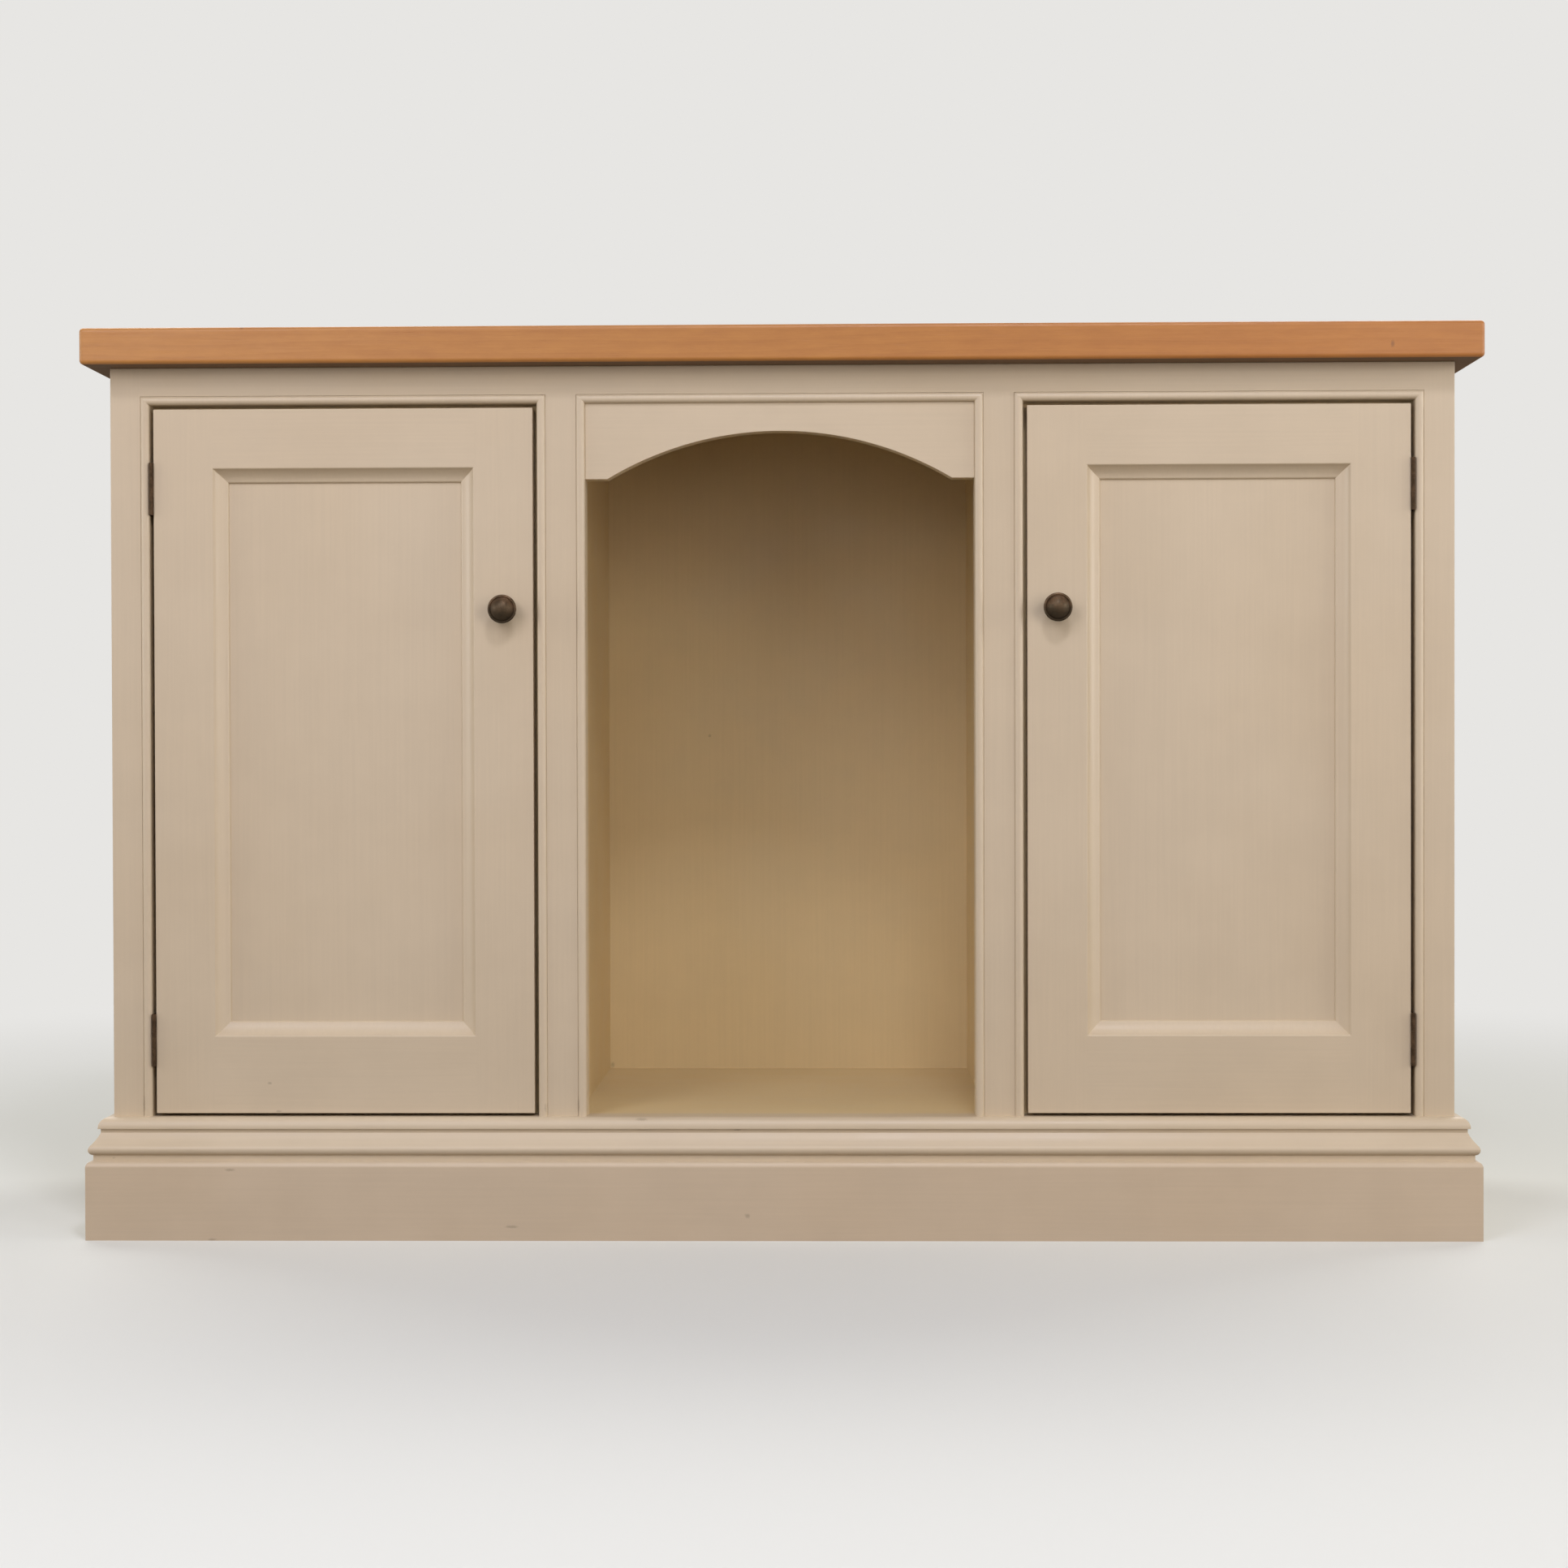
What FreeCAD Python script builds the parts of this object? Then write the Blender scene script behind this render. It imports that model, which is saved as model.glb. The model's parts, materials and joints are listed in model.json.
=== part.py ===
import FreeCAD, Part
import math
import os
import re
import Sketcher

# A painted dresser base: a timber top over a carcass with a beaded face frame, two inset panelled
# doors on butt hinges, an open alcove with an arched apron between them, and a moulded plinth.
# +X is to the right, +Y to the back and +Z up, and the origin is on the floor under the middle.
# Sizes are millimetres. The right-hand pieces are drawn, and most left-hand ones mirror them.

DIMENSIONS = {
    # Top
    "top_width": 1376,
    "top_depth": 450,
    "overall_height": 900,
    "top_thickness": 36,
    "top_edge_round": 4,
    "overhang_side": 23,
    "overhang_front": 30,
    # Carcass boards
    "board_thickness": 18,
    "back_thickness": 8,
    "back_rebate_width": 10,
    "base_housing_depth": 6,
    "partition_setback": 11,
    "batten_size": 20,
    "batten_margin": 20,
    "fit_clearance": 0.2,
    # Face frame
    "end_stile_width": 30,
    "mid_stile_width": 30,
    "top_rail_width": 28,
    "bottom_rail_width": 60,
    "frame_tenon_thickness": 8,
    "frame_tenon_length": 16,
    "frame_tenon_shoulder": 5,
    "bead_width": 9,
    "bead_proud": 3,
    # Plinth and its moulding
    "plinth_height": 78,
    "plinth_thickness": 23,
    "plinth_round": 6,
    "moulding_foot_out": 16.5,
    "moulding_nose_out": 20.8,
    "moulding_nose_height": 11,
    "moulding_nose_radius": 5.5,
    "moulding_slope": 46,
    "moulding_neck_out": 10.5,
    "moulding_ogee_height": 27,
    "moulding_fillet_height": 4,
    "moulding_thumb_out": 13,
    "moulding_thumb_height": 11,
    "moulding_thumb_radius": 10,
    # Alcove apron
    "apron_drop": 75,
    "apron_thickness": 20,
    "apron_recess": 2,
    "apron_shoulder": 22,
    "arch_rise": 47,
    # Doors
    "door_gap": 4,
    "door_bottom_gap": 3,
    "door_thickness": 21,
    "door_stop_clearance": 1,
    "door_stile_width": 58,
    "door_top_rail_width": 58,
    "door_bottom_rail_width": 76,
    "panel_thickness": 6,
    "panel_back_recess": 3,
    "groove_depth": 9,
    "panel_float": 1,
    "tenon_length": 32,
    "tenon_haunch": 16,
    "panel_moulding_width": 14.8,
    "panel_moulding_lip": 1.6,
    "panel_moulding_lip_slope": 51,
    "panel_moulding_nose": 3.2,
    "panel_moulding_nose_slope": 9,
    # Knobs
    "knob_diameter": 29,
    "knob_projection": 26,
    "knob_below_door_top": 200,
    "knob_base_diameter": 17,
    "knob_base_thickness": 2,
    "knob_neck_diameter": 11,
    "knob_neck_start": 6,
    "knob_cap_start": 8.5,
    "knob_rim_radius": 2.2,
    "knob_rim_front": 18.5,
    "knob_rim_width": 3.7,
    "knob_tip_diameter": 2,
    "knob_groove_depth": 1.6,
    "knob_screw_diameter": 4,
    "knob_screw_depth": 12,
    "knob_screw_head_diameter": 8,
    "knob_screw_head_height": 2.2,
    # Butt hinges
    "hinge_length": 52,
    "hinge_below_door_top": 79,
    "hinge_above_door_bottom": 73,
    "hinge_knuckles": 3,
    "hinge_knuckle_diameter": 4,
    "hinge_knuckle_standoff": 0.5,
    "hinge_knuckle_gap": 0.4,
    "hinge_leaf_thickness": 1.4,
    "hinge_leaf_width": 20,
    "hinge_leaf_setback": 0.3,
    "hinge_pin_diameter": 2,
    "hinge_pin_clearance": 0.06,
    "hinge_screw_head_diameter": 5,
    "hinge_screw_diameter": 2.6,
    "hinge_screw_length": 15,
    "hinge_screw_spacing": 18,
    "hinge_screw_stagger": 5,
    "hinge_screw_clearance": 0.08,
    # Shelves, stops, catches and top fixings
    "shelf_height": 460,
    "shelf_front_setback": 8,
    "shelf_clearance": 0.5,
    "stop_thickness": 18,
    "stop_drop": 22,
    "closing_strip_thickness": 7,
    "closing_strip_overlap": 5,
    "catch_length": 46,
    "catch_height": 14,
    "catch_from_lock_edge": 6,
    "catch_clearance": 0.4,
    "strike_length": 38,
    "strike_height": 11,
    "strike_thickness": 0.8,
    "top_screw_diameter": 4,
    "top_screw_head_diameter": 8,
    "top_screw_head_height": 2.4,
    "top_screw_bite": 22,
    "top_screw_inset": 50,
}

# Places worked out from the sizes above. The left-hand ones are the same with the sign turned.
PLACES = {
    "half_carcass": "top_width / 2 - overhang_side",
    "side_inner": "half_carcass - board_thickness",
    "face": "overhang_front - top_depth / 2",
    "frame_thickness": "door_thickness + door_stop_clearance",
    "frame_back": "face + frame_thickness",
    "back": "top_depth / 2",
    "back_inner": "back - back_thickness",
    "top_under": "overall_height - top_thickness",
    "moulding_height": "moulding_ogee_height + moulding_fillet_height + moulding_thumb_height",
    "floor_level": "plinth_height + moulding_height",
    "floor_under": "floor_level - board_thickness",
    "rail_under": "top_under - top_rail_width",
    "opening_top": "rail_under - bead_width",
    "bottom_rail_foot": "floor_level - bottom_rail_width",
    "stile_inner": "half_carcass - end_stile_width",
    "bay_outer": "stile_inner - bead_width",
    "opening_width": "(2 * bay_outer - 2 * mid_stile_width - 4 * bead_width) / 3",
    "alcove_half": "opening_width / 2",
    "mid_inner": "alcove_half + bead_width",
    "mid_outer": "mid_inner + mid_stile_width",
    "bay_inner": "mid_outer + bead_width",
    "partition_inner": "alcove_half + partition_setback",
    "partition_outer": "partition_inner + board_thickness",
    "bead_nose": "face - bead_proud",
    "bead_spring": "bead_nose + bead_width / 2",
    "frame_tenon_front": "face + (frame_thickness - frame_tenon_thickness) / 2",
    "frame_tenon_back": "frame_tenon_front + frame_tenon_thickness",
    "door_lock_edge": "bay_inner + door_gap",
    "door_hinge_edge": "bay_outer - door_gap",
    "door_bottom": "floor_level + door_bottom_gap",
    "door_top": "opening_top - door_gap",
    "door_back": "face + door_thickness",
    "field_lock": "door_lock_edge + door_stile_width",
    "field_hinge": "door_hinge_edge - door_stile_width",
    "field_bottom": "door_bottom + door_bottom_rail_width",
    "field_top": "door_top - door_top_rail_width",
    "panel_recess": "door_thickness - panel_thickness - panel_back_recess",
    "panel_front": "face + panel_recess",
    "panel_back": "panel_front + panel_thickness",
    "groove_front": "panel_front - fit_clearance",
    "groove_back": "panel_back + fit_clearance",
    "knob_x": "door_lock_edge + door_stile_width / 2",
    "knob_z": "door_top - knob_below_door_top",
    "pin_x": "bay_outer - door_gap / 2",
    "pin_y": "face - hinge_knuckle_standoff - hinge_knuckle_diameter / 2",
    "knuckle_pitch": "hinge_length / hinge_knuckles",
    "shelf_top": "shelf_height + board_thickness",
    "stop_foot": "opening_top - stop_drop",
    "stop_back": "frame_back + stop_thickness",
    "batten_front": "stop_back + batten_margin",
    "batten_back": "back_inner - batten_margin",
    "strike_back": "door_back + strike_thickness",
}

UPWARD = FreeCAD.Rotation()
TO_RIGHT = FreeCAD.Rotation(FreeCAD.Vector(0, 1, 0), 90)
TO_LEFT = FreeCAD.Rotation(FreeCAD.Vector(0, 1, 0), -90)
TO_FRONT = FreeCAD.Rotation(FreeCAD.Vector(1, 0, 0), 90)

HINGE_LEVELS = {
    "upper": "door_top - hinge_below_door_top",
    "lower": "door_bottom + hinge_above_door_bottom",
}
HINGE_SCREW_ROWS = (-1, 0, 1)
FRAME_KNUCKLES = (0, 2)
DOOR_KNUCKLES = (1,)

# Small turned pieces are drawn with flats, and a knob's round edges with a few straight bands: true
# curves on pieces this small would have more facets than all the rest.
SCREW_FLATS = 6
KNOB_FLATS = 20
ROUND_BANDS = 3

doc = FreeCAD.newDocument("DresserBase")
sheet = doc.addObject("Spreadsheet::Sheet", "Dims")
for row, (alias, size) in enumerate(DIMENSIONS.items(), start=1):
    sheet.set(f"A{row}", alias)
    sheet.set(f"B{row}", str(size))
    sheet.setAlias(f"B{row}", alias)
doc.recompute()

nodes = []


def expand(text):
    """An expression on the sheet's cells, from words that name sizes and places."""

    def swap(match):
        word = match.group()
        if word in PLACES:
            return f"({expand(PLACES[word])})"
        return f"Dims.{word}" if word in DIMENSIONS else word

    return re.sub(r"[a-z_]\w*", swap, str(text))


def number(text):
    """What such an expression comes to."""
    return float(sheet.evalExpression(expand(text)))


def bind(item, **sizes):
    """Ties properties of an object to expressions."""
    for name, text in sizes.items():
        item.setExpression(name, expand(text))
    return item


def put(item, x, y, z, turn=UPWARD):
    """Turns an object and ties its place to expressions."""
    item.Placement = FreeCAD.Placement(FreeCAD.Vector(), turn)
    for axis, text in zip("xyz", (x, y, z)):
        item.setExpression(f"Placement.Base.{axis}", expand(text))
    return item


def board(name, x, y, z):
    """A square-edged piece that fills a span, low to high, on each axis."""
    box = doc.addObject("Part::Box", name)
    sizes = [f"({high}) - ({low})" for low, high in (x, y, z)]
    bind(box, Length=sizes[0], Width=sizes[1], Height=sizes[2])
    return put(box, x[0], y[0], z[0])


def rod(name, diameter, length, place, turn=UPWARD):
    """A round bar that starts at a place."""
    bar = doc.addObject("Part::Cylinder", name)
    bind(bar, Radius=f"({diameter}) / 2", Height=length)
    return put(bar, *place, turn)


def shank(name, diameter, length, place, turn=UPWARD):
    """A flatted bar that starts at a place: part of a screw, or the hole for it."""
    bar = doc.addObject("Part::Prism", name)
    bar.Polygon = SCREW_FLATS
    bind(bar, Circumradius=f"({diameter}) / 2", Height=length)
    return put(bar, *place, turn)


def fused(name, *pieces):
    """Several shapes as one solid."""
    whole = doc.addObject("Part::MultiFuse", name)
    whole.Shapes = list(pieces)
    whole.Refine = True
    return whole


def cut(name, base, *tools):
    """A shape with others taken out of it."""
    rest = doc.addObject("Part::Cut", name)
    rest.Base = base
    rest.Tool = tools[0] if len(tools) == 1 else fused(f"{name}_cutter", *tools)
    rest.Refine = True
    return rest


def grouped(name, *pieces):
    """Separate solids that share a node."""
    group = doc.addObject("Part::Compound", name)
    group.Links = list(pieces)
    return group


def mirrored(name, source):
    """The left-hand twin of a right-hand piece."""
    twin = doc.addObject("Part::Mirroring", name)
    twin.Source = source
    twin.Normal = (1, 0, 0)
    return twin


def node(piece):
    """Marks a finished piece, which is saved under its label."""
    nodes.append(piece)
    return piece


def pair(piece, twin_name):
    """Marks a right-hand piece and its left-hand twin."""
    node(piece)
    node(mirrored(twin_name, piece))


def arc_between(start, end, radius, bend):
    """The short arc of a radius from start to end that bends left or right, as it is drawn."""
    along = end - start
    side = FreeCAD.Vector(-along.y, along.x, 0).normalize()
    if bend == "right":
        side = -side
    reach = max(radius ** 2 - (along.Length / 2) ** 2, 0) ** 0.5
    centre = (start + end) / 2 + side * reach
    first, last = (start, end) if bend == "left" else (end, start)
    circle = Part.Circle(centre, FreeCAD.Vector(0, 0, 1), radius)
    return Part.ArcOfCircle(circle, circle.parameter(first), circle.parameter(last))


def outline(body, name, role, offset, points):
    """A closed sketch on one of the body's origin planes, moved along the plane's normal by offset.

    Each point is (across, up), or (across, up, radius, bend) where an arc leads to it. Every corner
    and radius is a constraint that is tied to the sheet.
    """
    sketch = body.newObject("Sketcher::SketchObject", name)
    plane = next(item for item in body.Origin.OriginFeatures if item.Role == role)
    sketch.AttachmentSupport = [(plane, "")]
    sketch.MapMode = "FlatFace"
    sketch.setExpression("AttachmentOffset.Base.z", expand(offset))
    corners = [FreeCAD.Vector(number(point[0]), number(point[1]), 0) for point in points]
    ends = []
    for index, point in enumerate(points):
        start = corners[index - 1]
        end = corners[index]
        if len(point) == 2:
            sketch.addGeometry(Part.LineSegment(start, end))
            ends.append((1, 2))
        else:
            sketch.addGeometry(arc_between(start, end, number(point[2]), point[3]))
            ends.append((1, 2) if point[3] == "left" else (2, 1))
    for index, point in enumerate(points):
        following = (index + 1) % len(points)
        sketch.addConstraint(
            Sketcher.Constraint("Coincident", index, ends[index][1], following, ends[following][0])
        )
        for kind, text in (("DistanceX", point[0]), ("DistanceY", point[1])):
            place = Sketcher.Constraint(kind, -1, 1, index, ends[index][1], number(text))
            tie = sketch.addConstraint(place)
            sketch.setExpression(f"Constraints[{tie}]", expand(text))
        if len(point) > 2:
            tie = sketch.addConstraint(Sketcher.Constraint("Radius", index, number(point[2])))
            sketch.setExpression(f"Constraints[{tie}]", expand(point[2]))
    return sketch


def moulded(name, role, offset, points, length):
    """A piece of constant section, run along the section plane's normal."""
    body = doc.addObject("PartDesign::Body", name)
    section = outline(body, f"{name}_section", role, offset, points)
    run = body.newObject("PartDesign::Pad", f"{name}_run")
    run.Profile = section
    bind(run, Length=length)
    return body


def mitred(body, name, role, offset, *corners):
    """Cuts a mitre off a moulded piece: a triangle that goes right through it."""
    triangle = outline(body, f"{name}_line", role, offset, corners)
    saw_cut = body.newObject("PartDesign::Pocket", name)
    saw_cut.Profile = triangle
    saw_cut.Type = "ThroughAll"


def make_top():
    """The timber top, with every arris rounded, and pilot holes for the screws that hold it."""
    slab = doc.addObject("PartDesign::Body", "top_slab")
    edge = "top_width / 2"
    corners = [(f"-{edge}", "-back"), (edge, "-back"), (edge, "back"), (f"-{edge}", "back")]
    plan = outline(slab, "top_plan", "XY_Plane", "top_under", corners)
    thickness = slab.newObject("PartDesign::Pad", "top_slab_thickness")
    thickness.Profile = plan
    bind(thickness, Length="top_thickness")
    doc.recompute()
    rounding = slab.newObject("PartDesign::Fillet", "top_arrises")
    rounding.Base = (thickness, [f"Edge{index + 1}" for index in range(len(thickness.Shape.Edges))])
    bind(rounding, Radius="top_edge_round")
    return slab


def make_carcass():
    """Sides, partitions, floor, back and the hidden rails and bearers under the floor."""
    full_depth = ("frame_back", "back")
    side = board("side_blank", ("side_inner", "half_carcass"), full_depth, ("0", "top_under"))
    rebate = board(
        "side_rebate",
        ("side_inner", "side_inner + back_rebate_width"),
        ("back_inner", "back"),
        ("floor_under", "top_under"),
    )
    housing = board(
        "side_housing",
        ("side_inner", "side_inner + base_housing_depth"),
        ("frame_back", "back_inner"),
        ("floor_under", "floor_level"),
    )
    pair(cut("side_panel_right", side, rebate, housing), "side_panel_left")

    inner_depth = ("frame_back", "back_inner")
    across = ("partition_inner", "partition_outer")
    pair(board("partition_right", across, inner_depth, ("floor_level", "top_under")), "partition_left")
    reach = "side_inner + base_housing_depth"
    node(board("base_panel", (f"-({reach})", reach), inner_depth, ("floor_under", "floor_level")))
    reach = "side_inner + back_rebate_width - fit_clearance"
    behind = ("back_inner", "back")
    node(board("back_panel", (f"-({reach})", reach), behind, ("floor_under", "top_under")))
    kick = ("back - board_thickness", "back")
    node(board("rear_plinth_rail", ("-side_inner", "side_inner"), kick, ("0", "floor_under")))
    under = ("frame_back", "back - board_thickness")
    bearer = board("base_bearer_right", across, under, ("0", "floor_under"))
    node(grouped("base_bearers", bearer, mirrored("base_bearer_left", bearer)))


def make_face_frame(hinge_screw_holes):
    """End stiles, mid stiles and rails, joined with stub tenons in closed mortises."""
    thickness = ("face", "frame_back")
    tenon_span = ("frame_tenon_front", "frame_tenon_back")
    mortise_span = ("frame_tenon_front - fit_clearance", "frame_tenon_back + fit_clearance")

    def rail(name, low, high, mid_mortise):
        """A rail with a tenon at each end, and a mortise in one edge for each mid stile."""
        cheeks = (f"{low} + frame_tenon_shoulder", f"{high} - frame_tenon_shoulder")
        reach = "stile_inner + frame_tenon_length"
        blank = board(f"{name}_blank", ("-stile_inner", "stile_inner"), thickness, (low, high))
        tenons = board(f"{name}_tenons", (f"-({reach})", reach), tenon_span, cheeks)
        mortise = board(
            f"{name}_mortise",
            (
                "mid_inner + frame_tenon_shoulder - fit_clearance",
                "mid_outer - frame_tenon_shoulder + fit_clearance",
            ),
            mortise_span,
            mid_mortise,
        )
        node(cut(name, fused(f"{name}_solid", blank, tenons), mortise, mirrored(f"{name}_twin", mortise)))
        pocket_heights = (f"{cheeks[0]} - fit_clearance", f"{cheeks[1]} + fit_clearance")
        pocket = ("stile_inner", f"{reach} + fit_clearance")
        return board(f"{name}_pocket", pocket, mortise_span, pocket_heights)

    up = ("rail_under", "rail_under + frame_tenon_length + fit_clearance")
    down = ("floor_level - frame_tenon_length - fit_clearance", "floor_level")
    top_pocket = rail("frame_top_rail", "rail_under", "top_under", up)
    foot_pocket = rail("frame_bottom_rail", "bottom_rail_foot", "floor_level", down)

    stile = board("end_stile_blank", ("stile_inner", "half_carcass"), thickness, ("0", "top_under"))
    stile = cut("frame_stile_right", stile, top_pocket, foot_pocket, hinge_screw_holes)
    pair(stile, "frame_stile_left")

    blank = board("mid_stile_blank", ("mid_inner", "mid_outer"), thickness, ("floor_level", "rail_under"))
    tenons = board(
        "mid_stile_tenons",
        ("mid_inner + frame_tenon_shoulder", "mid_outer - frame_tenon_shoulder"),
        tenon_span,
        ("floor_level - frame_tenon_length", "rail_under + frame_tenon_length"),
    )
    pair(fused("frame_mid_stile_right", blank, tenons), "frame_mid_stile_left")


def make_beads(hinge_screw_holes):
    """Three mitred strips with a half-round nose line the sides and head of each opening."""
    nose = "bead_width / 2"

    def upright(name, inner, outer, mitre_out):
        """A side strip, from the opening's foot to the mitre. Inner is the edge next to the frame."""
        middle = f"({inner} + {outer}) / 2"
        low, high = (inner, outer) if mitre_out else (outer, inner)
        section = [
            (low, "frame_back"),
            (low, "bead_spring"),
            (middle, "bead_nose", nose, "left"),
            (high, "bead_spring", nose, "left"),
            (high, "frame_back"),
        ]
        strip = moulded(name, "XY_Plane", "floor_level", section, "rail_under - floor_level")
        mitred(
            strip,
            f"{name}_mitre",
            "XZ_Plane",
            "-bead_nose",
            (outer, "opening_top"),
            (inner, "rail_under"),
            (outer, "rail_under"),
        )
        return strip

    def head(name, left, right):
        """The strip over an opening, mitred at both ends."""
        section = [
            ("frame_back", "rail_under"),
            ("bead_spring", "rail_under"),
            ("bead_nose", f"rail_under - {nose}", nose, "left"),
            ("bead_spring", "opening_top", nose, "left"),
            ("frame_back", "opening_top"),
        ]
        start = f"{left} - bead_width"
        strip = moulded(name, "YZ_Plane", start, section, f"{right} - ({left}) + 2 * bead_width")
        for side, edge, outward in (("left", left, "-"), ("right", right, "+")):
            mitred(
                strip,
                f"{name}_{side}_mitre",
                "XZ_Plane",
                "-bead_nose",
                (edge, "opening_top"),
                (f"{edge} {outward} bead_width", "rail_under"),
                (f"{edge} {outward} bead_width", "opening_top"),
            )
        return strip

    hinge_strip = upright("bay_bead_hinge_blank", "stile_inner", "bay_outer", False)
    hinge_strip = cut("bay_bead_hinge_side", hinge_strip, hinge_screw_holes)
    lock_strip = upright("bay_bead_lock_side", "mid_outer", "bay_inner", True)
    bay_head = head("bay_bead_head", "bay_inner", "bay_outer")
    pair(grouped("right_bay_bead", hinge_strip, lock_strip, bay_head), "left_bay_bead")

    alcove_side = upright("alcove_bead_right", "mid_inner", "alcove_half", False)
    alcove_head = head("alcove_bead_head", "-alcove_half", "alcove_half")
    other_side = mirrored("alcove_bead_left", alcove_side)
    node(grouped("alcove_bead", alcove_side, other_side, alcove_head))


def make_apron():
    """The arched board across the head of the alcove."""
    foot = "opening_top - apron_drop"
    spring = "alcove_half - apron_shoulder"
    radius = f"(({spring}) ^ 2 + arch_rise ^ 2) / (2 * arch_rise)"
    arch = [
        ("-alcove_half", "opening_top"),
        ("-alcove_half", foot),
        (f"-({spring})", foot),
        (spring, foot, radius, "right"),
        ("alcove_half", foot),
        ("alcove_half", "opening_top"),
    ]
    offset = "-(face + apron_recess + apron_thickness)"
    node(moulded("alcove_apron", "XZ_Plane", offset, arch, "apron_thickness"))


def plinth_section(out):
    """The plinth board's section: square at the foot, rounded at the top. out(u) is u off the wall."""
    return [
        (out("0"), "0"),
        (out("plinth_thickness"), "0"),
        (out("plinth_thickness"), "plinth_height - plinth_round"),
        (out("plinth_thickness - plinth_round"), "plinth_height", "plinth_round"),
        (out("0"), "plinth_height"),
    ]


def moulding_section(out):
    """The base moulding's section: a nose that sweeps up in an ogee to a fillet under a thumb."""
    nose_z = "(plinth_height + moulding_nose_height)"
    neck_z = "(plinth_height + moulding_ogee_height)"
    thumb_z = "(floor_level - moulding_thumb_height)"
    slope = "(moulding_slope * 1 deg)"
    crest_out = f"(moulding_nose_out - moulding_nose_radius * (1 - cos({slope})))"
    crest_z = f"({nose_z} + moulding_nose_radius * sin({slope}))"
    run = f"({crest_out} - moulding_neck_out)"
    rise = f"({neck_z} - {crest_z})"
    hollow = f"(sqrt({run} ^ 2 + {rise} ^ 2) / (2 * sin({slope} - atan({run} / {rise}))))"
    step = "(moulding_nose_out - moulding_foot_out)"
    drop = f"sqrt(moulding_nose_radius ^ 2 - (moulding_nose_radius - {step}) ^ 2)"
    return [
        (out("0"), "plinth_height"),
        (out("moulding_foot_out"), "plinth_height"),
        (out("moulding_foot_out"), f"{nose_z} - {drop}"),
        (out("moulding_nose_out"), nose_z, "moulding_nose_radius"),
        (out(crest_out), crest_z, "moulding_nose_radius"),
        (out("moulding_neck_out"), neck_z, hollow, "hollow"),
        (out("moulding_neck_out"), thumb_z),
        (out("moulding_thumb_out"), thumb_z),
        (out("moulding_thumb_out"), "floor_level - moulding_thumb_radius"),
        (out("moulding_thumb_out - moulding_thumb_radius"), "floor_level", "moulding_thumb_radius"),
        (out("0"), "floor_level"),
    ]


def with_bends(section, bulge, hollow):
    """The section's arcs, each with the side it bends to as it is drawn."""
    bent = []
    for point in section:
        if len(point) == 2:
            bent.append(point)
        else:
            bent.append((*point[:3], hollow if "hollow" in point else bulge))
    return bent


def make_plinth(name, section, reach):
    """A front run and two side runs of one section, mitred round the carcass's front corners."""
    side_line = "half_carcass"
    front = with_bends(section(lambda u: f"face - ({u})"), "right", "left")
    front = moulded(
        f"{name}_front", "YZ_Plane", f"-({side_line} + {reach})", front, f"2 * ({side_line} + {reach})"
    )
    for side, sign in (("left", "-"), ("right", "")):
        mitred(
            front,
            f"{name}_front_{side}_mitre",
            "XY_Plane",
            "floor_level",
            (f"{sign}({side_line})", "face"),
            (f"{sign}({side_line} + {reach})", "face"),
            (f"{sign}({side_line} + {reach})", f"face - {reach}"),
        )
    node(front)
    run = with_bends(section(lambda u: f"{side_line} + {u}"), "left", "right")
    run = moulded(f"{name}_right", "XZ_Plane", "-back", run, f"back - face + {reach}")
    mitred(
        run,
        f"{name}_right_mitre",
        "XY_Plane",
        "floor_level",
        (side_line, "face"),
        (side_line, f"face - {reach}"),
        (f"{side_line} + {reach}", f"face - {reach}"),
    )
    pair(run, f"{name}_left")


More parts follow.
